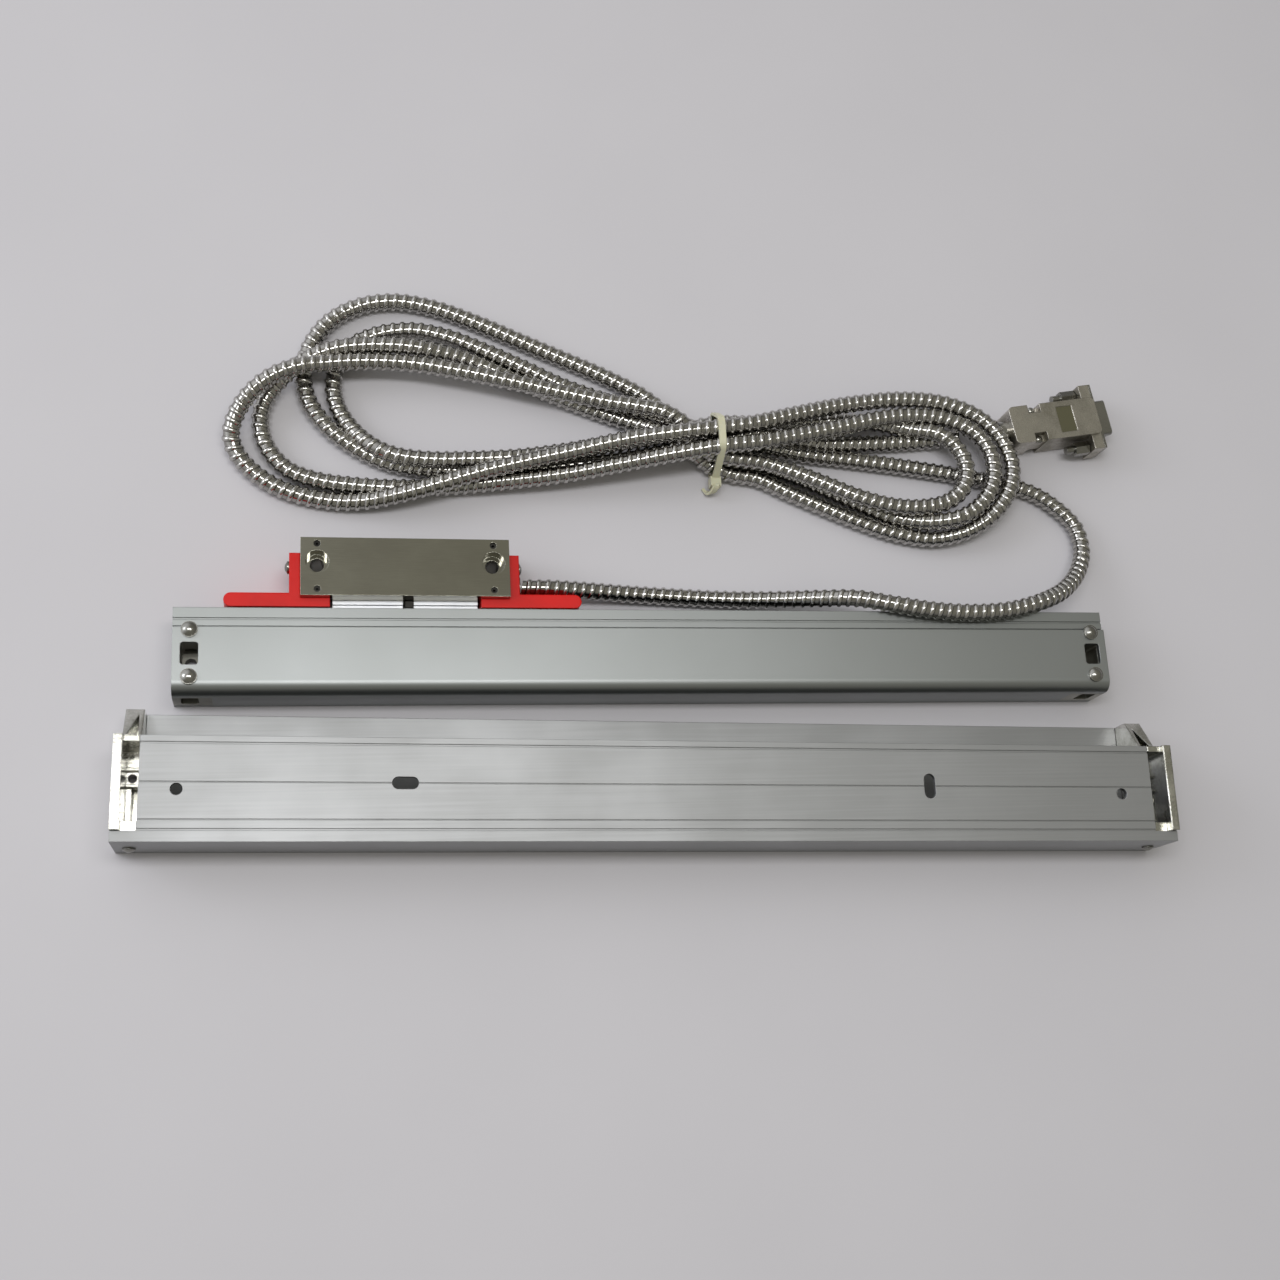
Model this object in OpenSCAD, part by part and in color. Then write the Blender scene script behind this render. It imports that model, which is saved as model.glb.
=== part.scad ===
// Linear glass scale: a sealed optical encoder for a machine axis.
// The housing lies on its back on Z = 0 and runs along X; the reading head slides beside it.
// The origin is midway between the two end fixing holes, on the back face of the housing.

/* [Housing] */
// Measuring length of the scale
measuring_l = 250; // [200:10:1000]
// Housing length beyond the measuring length, both ends together
overrun_l = 140; // [136:2:200]
// Width of the housing
housing_w = 35; // [34:0.5:38]
// Thickness of the housing
housing_t = 22; // [21.5:0.5:24]
// Distance from the near side to the line of the fixing holes
hole_line = 16; // [15:0.5:17]
// Wall thickness of the extrusion
housing_wall = 2.2; // [1.8:0.1:2.4]
// Width of the ledge beside the raised face
ledge_w = 8.3; // [7:0.1:9]
// Drop from the raised face to the ledge
ledge_drop = 1.7; // [1:0.1:2]
// Radius of the long near edge
near_r = 5; // [3:0.5:6]
// Height of the slit for the blade
slit_h = 9; // [8:0.5:10]
// Width of the fine grooves along the aluminium profiles
groove_w = 0.8; // [0.4:0.1:1.2]
// Depth of the fine grooves along the aluminium profiles
groove_depth = 0.5; // [0.3:0.1:0.8]

/* [End blocks] */
// Length of each end block
block_l = 15; // [14:0.5:18]
// Distance from the end of the housing to the fixing hole
hole_inset = 6.5; // [6:0.5:8]
// Radius of the fixing holes
fix_hole_r = 2.25; // [1.8:0.05:2.6]
// Width of the fixing recesses along the housing
recess_w = 6.8; // [6:0.1:7.6]
// Length of the fixing recesses across the housing
recess_l = 9; // [8:0.5:10]
// Thickness of block left under the top recess
recess_floor = 5; // [4:0.5:6]
// Offset of each block screw from the line of the fixing holes
block_screw_y = 9.4; // [9:0.1:9.8]
// Head diameter of the block screws
block_screw_head = 6.4; // [5.6:0.2:6.6]
// Shank diameter of the block screws
block_screw_d = 3; // [2.5:0.1:3]

/* [Glass and carriage] */
// Width of the glass scale
glass_w = 18; // [17:0.5:18.5]
// Thickness of the glass scale
glass_t = 3.6; // [3:0.1:4]
// Height of the middle of the glass and blade
blade_z = 11; // [10.8:0.1:11.2]
// Thickness of the blade
blade_t = 2; // [1.6:0.1:2.2]
// Width of the blade along the housing
blade_w = 32; // [24:1:40]
// Length of the scanning carriage
carriage_l = 72; // [68:1:76]
// Outer diameter of the guide rollers
roller_d = 5; // [4.6:0.1:5.2]
// Width of the guide rollers
roller_w = 2; // [1.6:0.1:2.2]
// Diameter of the roller pins
pin_d = 1.5; // [1.2:0.1:1.6]

/* [Reading head] */
// Length of the reading head
head_l = 83; // [80:1:100]
// Width of the reading head
head_w = 24; // [23:0.5:28]
// Thickness of the reading head
head_t = 22.5; // [21:0.5:26]
// Gap between the housing and the reading head
head_gap = 4; // [3:0.5:5]
// Height of the head's underside over the back face of the housing
head_lift = 2; // [1:0.5:3]
// Distance of the parked head from the start of the measuring length
head_park = 20; // [10:1:40]
// Distance from each end of the head to its mounting hole
head_inset = 6.5; // [6:0.5:8]
// Distance from the head's near side to its mounting holes
head_hole_y = 14; // [13:0.5:15]
// Radius of the mounting holes of the head
head_hole_r = 2.75; // [2.2:0.05:3]
// Radius of the counterbores
counterbore_r = 4.6; // [4:0.1:4.8]
// Depth of the counterbores
counterbore_depth = 5.4; // [4:0.1:7]
// Diameter of the small adjusting screws
adjust_d = 2.6; // [2:0.1:3]

/* [Transport brackets] */
// Thickness of the end leg
leg_t = 4.3; // [3.5:0.1:5]
// Length of the end leg, across the head
leg_w = 19.5; // [19:0.5:21]
// Height of the bracket
bracket_h = 18; // [16:0.5:19]
// Length of the foot beyond the head
foot_out = 29.5; // [20:0.5:35]
// Length of the tongue between head and housing
tongue_l = 11.5; // [8:0.5:16]
// Thickness of the foot outside the head
foot_t = 5.6; // [5:0.1:6]

/* [Cable] */
// Outer diameter of the armoured cable
cable_d = 7.5; // [7:0.1:8]
// Height of the cable where it leaves the head
cable_exit_z = 10; // [9.5:0.1:10.5]

/* [Plug] */
// Length of the metal hood
hood_l = 43; // [42:0.5:50]
// Width of the hood
hood_w = 17.6; // [17:0.2:18]
// Height of the hood
hood_h = 16; // [15.4:0.1:17]
// Distance between the two jackscrews
jack_pitch = 25; // [24.6:0.1:25.4]
// Diameter of the jackscrew shanks
jack_d = 3; // [2.6:0.1:3]
// Width across flats of the jackscrew heads
jack_flats = 5.6; // [5:0.1:6]

/* [Dust cover] */
// Overall length of the dust cover
cover_l = 429; // [380:1:600]
// Width of the dust cover at its lower flange
cover_w = 54; // [52:0.5:60]
// Height of the dust cover
cover_h = 28; // [26:0.5:34]
// Width of the upper flange
lid_w = 40.3; // [38:0.1:42]
// Sheet thickness of the flanges
cover_t = 2; // [1.6:0.1:2.4]
// Thickness of the near wall between the flanges
near_wall_t = 2.5; // [2:0.1:3]
// Gap between the housing and the middle of the cover lying in front of it
cover_gap = 8; // [6:1:30]
// Turn of the cover in degrees, as it lies beside the housing
cover_turn = -1.25; // [-1.5:0.25:1.5]
// Length of each cast end bracket that shows beyond the flanges
end_l = 9.5; // [9:0.5:14]
// Wall thickness of the cast end brackets
end_wall = 3.4; // [3:0.1:3.6]

/* [Hidden] */
$fn = 48;

clearance = 0.1;      // fixed pieces that plug into each other
run_gap = 0.05;       // radial clearance of a turning shaft
slide_gap = 0.3;      // gap between parts that slide past each other
cut = 1;              // how far a cutting solid runs past a face

// Housing
housing_l = measuring_l + overrun_l;
near_y = -hole_line;
far_y = housing_w - hole_line;
step_y = far_y - ledge_w;
ledge_z = housing_t - ledge_drop;
cavity_l = housing_l - 2 * block_l;
hole_x = housing_l / 2 - hole_inset;
seat_reach = 4.3;     // how far the glass seat ribs stand out of the near wall
seat_t = 2.2;
bond_t = 0.8;
glass_y0 = near_y + housing_wall + bond_t;
glass_y1 = glass_y0 + glass_w;
glass_z0 = blade_z - glass_t / 2;
glass_z1 = blade_z + glass_t / 2;
pad_top = 15;         // top of the block's pad in the near wall
boss_r = 4.6;         // boss of the block that reaches the back face
gasket_t = 1;
recess_r = 1.2;
side_recess_z = 9.5;
side_recess_depth = 5.5;
screw_head_h = 2.2;
block_screw_l = 13;

// Reading head
head_x = head_park - measuring_l / 2;
head_pitch = head_l - 2 * head_inset;
head_y0 = far_y + head_gap;
head_z1 = head_lift + head_t;
adjust_inset = 2.6;   // from the long sides of the head
adjust_l = 6.5;
adjust_sink = 1;      // from the face of the head
head_wall = 4;
head_hole_wall = 3.4; // between the counterbores and the pocket
head_pocket_l = head_pitch - 2 * (counterbore_r + head_hole_wall);
head_pocket_h = 13;
head_cover_t = 1.5;
blade_grip = 4;       // how far the blade is held inside the head
gland_y = head_y0 + 8;
gland_r = 5;
gland_out = 6;
wire_r = 2.6;
board_t = 1.6;
board_gap = 3;        // from the head cover and from the ends of the pocket
post_w = 3;
bracket_z0 = head_lift + 1;
bracket_screw_y = 14;
bracket_screw_z = head_lift + 13.5;
bracket_screw_d = 3;
bracket_screw_head = 5.2;
bracket_screw_l = 3;
cable_start = 0.5;    // from the face of the gland to the first ring of the cable

// Carriage
roller_gap = 0.15;
bar_y0 = glass_y1 + roller_d + roller_gap + 0.35;
bar_t = 3;
bar_z0 = 5;
bar_z1 = 17;
scan_l = 24;          // length of the lamp and detector arms
arm_reach = 9;        // how far the arms reach over the glass
arm_y0 = glass_y1 - arm_reach;
arm_gap = 0.5;
lamp_l = scan_l - 6;
lamp_y0 = arm_y0 + 2.5;
lamp_y1 = bar_y0 - 1;
face_roller_inset = 6;
face_roller_x = carriage_l / 2 - face_roller_inset;
face_roller_y = glass_y1 - 3.5;
edge_roller_inset = 14;
edge_roller_x = carriage_l / 2 - edge_roller_inset;
edge_roller_y = glass_y1 + roller_d / 2 + roller_gap;
face_roller_z = glass_z1 + roller_d / 2 + roller_gap;
middle_roller_y = arm_y0 - roller_w - 0.4;
lug_t = 1.5;
lug_w = 6;
lug_z = (roller_w + lug_t) / 2 + slide_gap;

// Cable: route of the lead from the head, over the housing and into the hank
LEAD = [[-58, 31, 10], [-46, 31, 10], [-30, 31, 7.4], [-12, 30.5, 4.8], [10, 29.5, 4],
        [32, 28.5, 4.4], [52, 27.5, 8], [69, 26.2, 14.5], [84, 24.4, 21], [99, 21, 24.4],
        [116, 18.4, 24.6], [134, 17.4, 24.6], [152, 18.8, 24.6], [167, 23, 23], [181, 30, 17],
        [192, 40, 10.5], [198, 52, 6], [197, 64, 4.2], [188, 74, 4], [177, 80.5, 4], [163, 84, 4]];
// Outline of the hank, before its corners are rounded
HANK = [[30, 96], [0, 98], [-40, 96], [-86, 90], [-110, 84], [-132, 82], [-150, 83], [-159, 88],
        [-163, 97], [-159, 108], [-149, 117], [-134, 126], [-129, 137], [-119, 145], [-104, 149],
        [-86, 147], [-60, 139], [-30, 123], [0, 108], [30, 96], [60, 102], [92, 105], [116, 107],
        [133, 105], [143, 99], [150, 88], [146, 78], [138, 71], [126, 68], [112, 71], [90, 77], [60, 87]];
hank_z0 = 0.3;
hank_z1 = 17;
lobe_r = 15.5;        // half the width of the hank along its loops
// The eight runs of cable at the tie: offset across the hank from tie_y, and height
RUNS = [[-8.9, 5.5], [-1.3, 5.5], [6.3, 5.5], [-5.7, 12], [1.9, 12], [9.4, 12], [-2, 18.4], [5.6, 18.4]];
waist_l = 44;         // length over which the runs are gathered for the tie
tie_x = 30;
tie_y = 96.2;
tie_w = 3;
tie_t = 1.2;
tie_room = 1.5;       // between the tie and the hank on each side
lock_w = 4.6;
lock_t = 3.2;
lock_z0 = 3;
lock_z1 = 7.5;

// Plug
plug_x = 167;
plug_y = 107.5;
plug_turn = 9;
plug_z = hood_h / 2 + 0.3;
hood_wall = 1.8;
ear_l = 5;
ear_w = 31;
ear_h = 12.5;
flange_t = 1;
skirt_l = 6;
skirt_w = 16.9;
skirt_h = 8.3;
skirt_t = 0.5;
collar_l = 4;
tail_l = 6;           // cable between the hank and the collar
collar_r = 5;
jack_head_l = 7;
jack_tail_l = 4;
jack_tip_l = 3;
notch_x = 12.5;
notch_l = 6;
notch_w = 3.8;
notch_h = 4;
label_x = 27;
label_w = 8;
label_l = 12.5;
label_depth = 0.3;
pin_pitch = 2.77;
pin_row = 2.84;

// Dust cover, in its own frame: x from its middle, y from the near wall, z from its lower flange
cover_x = -1.2;
cover_y = near_y - cover_gap - cover_w;
near_strip = 4.2;     // edge of the upper flange that runs on over the end brackets
profile_l = cover_l - 2 * end_l;
end_rise = 2.5;       // how far the end brackets stand above the upper flange
end_base = 2;
pad_h = 8;
rib_t = 1.2;
rib_h = 3;
bracket_hole_x = 5.7; // from the outer face of the bracket
bracket_hole_y = 27.4;
bracket_hole_r = 1.7;
boss_half = 3.2;      // half the distance between the two ribs
ear_x = 2.4;          // from the outer face of the bracket
ear_tip_h = 11;
ear_top_h = 22;
cover_screw_x = 6.1;
cover_screw_z = 13;
cover_screw_d = 3;
cover_screw_head = 5;
cover_screw_l = 7;
screw_pad_w = 5.5;
cover_hole_r = 2.3;
cover_hole_inset = 13.75; // from the ends of the flanges
cover_hole_y = 19.8;
slot_x = 106.4;
slot_y = 22.6;
slot_w = 4.8;
slot_l = 10.2;

// ---------------------------------------------------------------- helpers

// A box from its lowest to its highest corner
module box(lo, hi) { translate(lo) cube(hi - lo); }

// Extrudes a Y-Z outline along X, centred on x
module along_x(l, x = 0) { translate([x - l / 2, 0, 0]) rotate([90, 0, 90]) linear_extrude(l) children(); }

// A cylinder along Y from y0 to y1
module rod_y(r, y0, y1) { translate([0, y0, 0]) rotate([-90, 0, 0]) cylinder(h = y1 - y0, r = r); }

// A cylinder along X from x0 to x1
module rod_x(r, x0, x1) { translate([x0, 0, 0]) rotate([0, 90, 0]) cylinder(h = x1 - x0, r = r); }

// A rectangle with round corners, centred
module round_rect(w, l, r) {
    square([w - 2 * r, l], center = true);
    square([w, l - 2 * r], center = true);
    for (sx = [-1, 1], sy = [-1, 1]) translate([sx * (w / 2 - r), sy * (l / 2 - r)]) circle(r);
}

// A slot with round ends, its length along X
module slot(w, l) {
    square([l - w, w], center = true);
    for (s = [-1, 1]) translate([s * (l - w) / 2, 0]) circle(d = w);
}

// A pan-head screw pointing down, the seat of its head at z = 0
module pan_screw(head_d, head_h, d, l) {
    cylinder(h = head_h * 0.45, r = head_d / 2);
    translate([0, 0, head_h * 0.45]) intersection() {
        cylinder(h = head_h * 0.55, r = head_d / 2);
        translate([0, 0, -head_d * 0.62 + head_h * 0.55]) sphere(r = head_d * 0.62, $fn = 32);
    }
    translate([0, 0, -l]) cylinder(h = l, r = d / 2);
}

// Sweeps a round tube of n sides along the points of a route
function unit(v) = v / norm(v);
function heading(p, i) = unit(p[min(i + 1, len(p) - 1)] - p[max(i - 1, 0)]);
function ring(p, i, r, n) =
    let (t = heading(p, i), s = unit(cross(t, [0, 0, 1])), u = cross(s, t))
    [for (k = [0:n - 1]) p[i] + r * (cos(360 * k / n) * s + sin(360 * k / n) * u)];
module tube(p, r, n = 10) {
    last = len(p) - 1;
    points = [for (i = [0:last]) each ring(p, i, r, n)];
    sides = [for (i = [0:last - 1], k = [0:n - 1])
        [i * n + k, i * n + (k + 1) % n, (i + 1) * n + (k + 1) % n, (i + 1) * n + k]];
    start = [for (k = [n - 1:-1:0]) k];
    end = [for (k = [0:n - 1]) last * n + k];
    polyhedron(points = points, faces = concat([start], sides, [end]), convexity = 8);
}

// ---------------------------------------------------------------- housing

// Outer Y-Z outline: raised face, ledge, and the long rounded near edge
module housing_outline() {
    translate([near_y, 0]) square([housing_w, housing_t - near_r]);
    translate([near_y + near_r, 0]) square([housing_w - near_r, ledge_z]);
    translate([near_y + near_r, 0]) square([step_y - near_y - near_r, housing_t]);
    translate([near_y + near_r, housing_t - near_r]) circle(near_r);
}

// Y-Z outline of the hollow, made smaller all round by gap
module cavity_outline(gap = 0) {
    w = housing_wall + gap;
    r = near_r - housing_wall;
    translate([near_y + w, w]) square([housing_w - 2 * w, housing_t - w - near_r]);
    translate([near_y + w + r, w]) square([housing_w - 2 * w - r, ledge_z - 2 * w]);
    translate([near_y + w + r, w]) square([step_y - near_y - 2 * w - r, housing_t - 2 * w]);
    translate([near_y + w + r, housing_t - w - r]) circle(r);
}

// The two ribs that hold the edge of the glass
module glass_seat() {
    y0 = near_y + housing_wall - clearance;
    translate([y0, glass_z0 - seat_t]) square([seat_reach + clearance, seat_t]);
    translate([y0, glass_z1 + bond_t]) square([seat_reach + clearance, seat_t]);
}

module housing() {
    color("silver") difference() {
        along_x(housing_l) difference() {
            housing_outline();
            difference() {
                cavity_outline();
                glass_seat();
            }
            translate([far_y - housing_wall - cut, blade_z - slit_h / 2])
                square([housing_wall + 2 * cut, slit_h]);
            translate([far_y - ledge_w * 0.6, ledge_z - groove_depth])
                square([groove_w, groove_depth + cut]);
            translate([step_y, ledge_z - groove_depth]) square([groove_w, groove_depth + cut]);
        }
        for (s = [-1, 1]) {
            along_x(block_l, s * (housing_l - block_l) / 2) cavity_outline();
            pad_x = s * (housing_l / 2 + cut - block_l / 2 - cut / 2);
            translate([pad_x - (block_l + cut) / 2, near_y - cut, housing_wall])
                cube([block_l + cut, housing_wall + 2 * cut, pad_top - housing_wall]);
            translate([s * hole_x, 0, -cut]) cylinder(h = housing_wall + 2 * cut, r = boss_r + clearance);
            translate([s * hole_x, 0, housing_t / 2]) linear_extrude(housing_t)
                round_rect(recess_w, recess_l, recess_r);
            for (sy = [-1, 1]) translate([s * hole_x, sy * block_screw_y, housing_t / 2])
                cylinder(h = housing_t, r = block_screw_d / 2 + clearance);
        }
    }
}

// A die-cast block that plugs into one end of the housing
module end_block(s) {
    x_mid = s * (housing_l - block_l) / 2;
    difference() {
        union() {
            along_x(block_l, x_mid) {
                cavity_outline(clearance);
                translate([near_y, housing_wall + clearance])
                    square([housing_wall * 2, pad_top - housing_wall - 2 * clearance]);
                translate([far_y - housing_wall * 2, blade_z - slit_h / 2 + clearance])
                    square([housing_wall * 2, slit_h - 2 * clearance]);
            }
            translate([s * hole_x, 0, 0]) cylinder(h = housing_wall * 2, r = boss_r);
        }
        translate([s * hole_x, 0, -cut]) cylinder(h = housing_t, r = fix_hole_r);
        translate([s * hole_x, 0, recess_floor]) linear_extrude(housing_t)
            round_rect(recess_w, recess_l, recess_r);
        translate([s * hole_x, near_y + side_recess_depth, side_recess_z]) rotate([90, 0, 0])
            linear_extrude(side_recess_depth + cut) round_rect(recess_w, recess_l, recess_r);
        translate([s * hole_x, 0, side_recess_z]) rod_y(fix_hole_r, near_y - cut, far_y + cut);
        for (sy = [-1, 1])
            translate([s * hole_x, sy * block_screw_y, housing_t - block_screw_l - clearance])
                cylinder(h = housing_t, r = block_screw_d / 2 + clearance / 2);
    }
}
module end_block_left() { color("dimgray") end_block(-1); }
module end_block_right() { color("dimgray") end_block(1); }

// A thin rubber gasket on the inner face of an end block
module end_gasket(s) {
    x_mid = s * (cavity_l - gasket_t) / 2;
    along_x(gasket_t, x_mid) difference() {
        cavity_outline(clearance);
        translate([near_y, glass_z0 - seat_t - clearance])
            square([seat_reach + housing_wall + clearance, glass_t + bond_t + 2 * seat_t + 2 * clearance]);
    }
}
module end_gasket_left() { color("black") end_gasket(-1); }
module end_gasket_right() { color("black") end_gasket(1); }

module block_screws() {
    color("gainsboro") for (s = [-1, 1], sy = [-1, 1])
        translate([s * hole_x, sy * block_screw_y, housing_t])
            pan_screw(block_screw_head, screw_head_h, block_screw_d, block_screw_l);
}

// ---------------------------------------------------------------- glass and seals

glass_l = cavity_l - 2 * gasket_t - 2 * clearance;

module glass_scale() {
    color("lightcyan", 0.5) box([-glass_l / 2, glass_y0, glass_z0], [glass_l / 2, glass_y1, glass_z1]);
}

module glass_bond() {
    color("whitesmoke") along_x(glass_l) {
        translate([near_y + housing_wall, glass_z0]) square([bond_t, glass_t + bond_t]);
        translate([near_y + housing_wall, glass_z1]) square([seat_reach, bond_t]);
    }
}

// A rubber lip on one side of the slit: s is 1 above the blade, -1 below it
module lip(s) {
    root_z = slit_h / 2;
    tip_z = blade_t / 2 + slide_gap;
    tip_y = far_y - 4.5;
    along_x(glass_l) translate([0, blade_z])
        polygon([[far_y - 0.3, s * root_z], [far_y - 0.3, s * (root_z - 1.4)],
        [tip_y, s * tip_z], [tip_y, s * (tip_z + 0.6)], [far_y - housing_wall, s * (root_z - 0.4)],
        [far_y - housing_wall, s * root_z]]);
}
module lip_upper() { color("black") lip(1); }
module lip_lower() { color("black") lip(-1); }

// ---------------------------------------------------------------- reading head

// Places children at the parked head: x runs along it, y from its near side, z from the back face
module at_head() { translate([head_x, head_y0, 0]) children(); }

adjust_spots = [for (sx = [-1, 1], y = [adjust_inset, head_w - adjust_inset]) [sx * head_pitch / 2, y]];

module head_block() {
    color("silver") at_head() difference() {
        box([-head_l / 2, 0, head_lift], [head_l / 2, head_w, head_z1]);
        for (sx = [-1, 1]) translate([sx * head_pitch / 2, head_hole_y, 0]) {
            cylinder(h = head_z1 + cut, r = head_hole_r);
            translate([0, 0, head_z1 - counterbore_depth])
                cylinder(h = counterbore_depth + cut, r = counterbore_r);
        }
        for (p = adjust_spots) translate([p[0], p[1], head_lift + 3])
            cylinder(h = head_t, r = adjust_d / 2 + clearance / 2);
        box([-head_pocket_l / 2, head_wall, head_lift - cut],
            [head_pocket_l / 2, head_w - head_wall, head_lift + head_pocket_h]);
        box([-head_pocket_l / 2 - 2, head_wall - 2, head_lift - cut],
            [head_pocket_l / 2 + 2, head_w - head_wall + 2, head_lift + head_cover_t]);
        box([-blade_w / 2 - clearance, -cut, blade_z - blade_t / 2 - clearance],
            [blade_w / 2 + clearance, blade_grip + clearance, blade_z + blade_t / 2 + clearance]);
        translate([0, gland_y - head_y0, cable_exit_z])
            rod_x(wire_r + clearance, head_pocket_l / 2 - cut, head_l);
        for (sx = [-1, 1]) translate([sx * head_l / 2, bracket_screw_y, bracket_screw_z])
            rod_x(bracket_screw_d / 2 + clearance / 2, -bracket_screw_l, bracket_screw_l);
    }
}

module head_cover() {
    color("silver") at_head()
        box([-head_pocket_l / 2 - 2 + clearance, head_wall - 2 + clearance, head_lift],
        [head_pocket_l / 2 + 2 - clearance, head_w - head_wall + 2 - clearance,
            head_lift + head_cover_t - 0.05]);
}

module adjust_screws() {
    color("dimgray") at_head() for (p = adjust_spots)
        translate([p[0], p[1], head_z1 - adjust_sink - adjust_l]) difference() {
            cylinder(h = adjust_l, r = adjust_d / 2);
            translate([0, 0, adjust_l * 0.7]) cylinder(h = adjust_l, r = adjust_d / 4, $fn = 6);
        }
}

// The board stands on two posts on the head cover and carries two chips
module circuit_board() {
    z = head_lift + head_cover_t + clearance;
    top = z + board_gap + board_t;
    half = head_pocket_l / 2 - board_gap;
    mid_y = head_w / 2;
    color("darkgreen") at_head() {
        for (sx = [-1, 1]) box([sx * half * 0.7 - post_w / 2, mid_y - post_w / 2, z],
            [sx * half * 0.7 + post_w / 2, mid_y + post_w / 2, z + board_gap]);
        box([-half, head_wall + 1.5, z + board_gap], [half, head_w - head_wall - 1.5, top]);
        box([-half * 0.35, mid_y - 4, top], [half * 0.15, mid_y + 4, top + 2]);
        box([half * 0.4, mid_y - 5, top], [half * 0.8, mid_y + 3, top + 3]);
    }
}

module blade() {
    color("gainsboro") translate([head_x, 0, 0]) box([-blade_w / 2, bar_y0 + bar_t, blade_z - blade_t / 2],
        [blade_w / 2, head_y0 + blade_grip, blade_z + blade_t / 2]);
}

// ---------------------------------------------------------------- scanning carriage

// Places children at the carriage: x runs along it, y and z are those of the housing
module at_carriage() { translate([head_x, 0, 0]) children(); }

module carriage() {
    color("darkgray") at_carriage() difference() {
        union() {
            box([-carriage_l / 2, bar_y0, bar_z0], [carriage_l / 2, bar_y0 + bar_t, bar_z1]);
            box([-scan_l / 2, arm_y0, glass_z1 + arm_gap], [scan_l / 2, bar_y0 + bar_t / 2, bar_z1]);
            box([-scan_l / 2, arm_y0, bar_z0], [scan_l / 2, bar_y0 + bar_t / 2, glass_z0 - arm_gap]);
            for (sx = [-1, 1]) {
                for (sz = [-1, 1]) translate([sx * edge_roller_x, 0, blade_z + sz * lug_z])
                    box([-lug_w / 2, glass_y1 + arm_gap, -lug_t / 2],
                        [lug_w / 2, bar_y0 + bar_t / 2, lug_t / 2]);
            }
        }
        box([-lamp_l / 2 - clearance, lamp_y0 - clearance, glass_z1 - cut],
            [lamp_l / 2 + clearance, lamp_y1 + clearance, bar_z1 + cut]);
        box([-lamp_l / 2 - clearance, lamp_y0 - clearance, bar_z0 - cut],
            [lamp_l / 2 + clearance, lamp_y1 + clearance, glass_z0]);
        for (sx = [-1, 1]) {
            translate([sx * face_roller_x, 0, face_roller_z])
                rod_y(pin_d / 2 + clearance / 4, bar_y0 - cut, bar_y0 + bar_t - 0.5);
            translate([sx * edge_roller_x, edge_roller_y, 0])
                cylinder(h = housing_t, r = pin_d / 2 + clearance / 4);
        }
        translate([0, 0, face_roller_z]) rod_y(pin_d / 2 + clearance / 4, arm_y0 - cut, lamp_y0 - cut / 2);
    }
}

module lamp_module() {
    color("dimgray") at_carriage() {
        box([-lamp_l / 2, lamp_y0, glass_z1 + arm_gap + 1.2], [lamp_l / 2, lamp_y1, bar_z1]);
        for (x = [-4.5, 4.5]) translate([x, (lamp_y0 + lamp_y1) / 2, glass_z1 + arm_gap + 0.2])
            cylinder(h = 1, r = 3);
    }
}

module reticle() {
    color("lightcyan", 0.5) at_carriage()
        box([-lamp_l / 2, lamp_y0, glass_z0 - arm_gap - 0.8], [lamp_l / 2, lamp_y1, glass_z0 - arm_gap]);
}

module detector_board() {
    color("darkgreen") at_carriage() {
        box([-lamp_l / 2, lamp_y0, bar_z0], [lamp_l / 2, lamp_y1, bar_z0 + 1]);
        box([-lamp_l / 2 + 2, lamp_y0 + 2, bar_z0 + 1],
            [lamp_l / 2 - 2, lamp_y1 - 2, glass_z0 - arm_gap - 0.8]);
    }
}

module roller_pins() {
    color("gainsboro") at_carriage() {
        for (sx = [-1, 1]) {
            translate([sx * face_roller_x, 0, face_roller_z])
                rod_y(pin_d / 2, face_roller_y - roller_w / 2 - 0.2, bar_y0 + bar_t - 0.6);
            translate([sx * edge_roller_x, edge_roller_y, blade_z])
                cylinder(h = 2 * lug_z + lug_t, r = pin_d / 2, center = true);
        }
        translate([0, 0, face_roller_z])
            rod_y(pin_d / 2, middle_roller_y - roller_w / 2 - 0.2, lamp_y0 - cut / 2 - 0.1);
    }
}

// A small ball bearing: outer ring, balls and bore, its axis along Z and centred
module roller() {
    difference() {
        cylinder(h = roller_w, r = roller_d / 2, center = true);
        cylinder(h = roller_w + cut, r = pin_d / 2 + run_gap, center = true);
        for (s = [-1, 1]) translate([0, 0, s * roller_w / 2]) difference() {
            cylinder(h = 0.4, r = roller_d * 0.38, center = true);
            cylinder(h = 1, r = roller_d * 0.26, center = true);
        }
    }
}
module face_roller(x, y) {
    color("silver") at_carriage() translate([x, y, face_roller_z]) rotate([90, 0, 0]) roller();
}
module edge_roller(x) { color("silver") at_carriage() translate([x, edge_roller_y, blade_z]) roller(); }
module face_roller_left() { face_roller(-face_roller_x, face_roller_y); }
module face_roller_right() { face_roller(face_roller_x, face_roller_y); }
module face_roller_middle() { face_roller(0, middle_roller_y); }
module edge_roller_left() { edge_roller(-edge_roller_x); }
module edge_roller_right() { edge_roller(edge_roller_x); }

// ---------------------------------------------------------------- transport brackets

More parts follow.
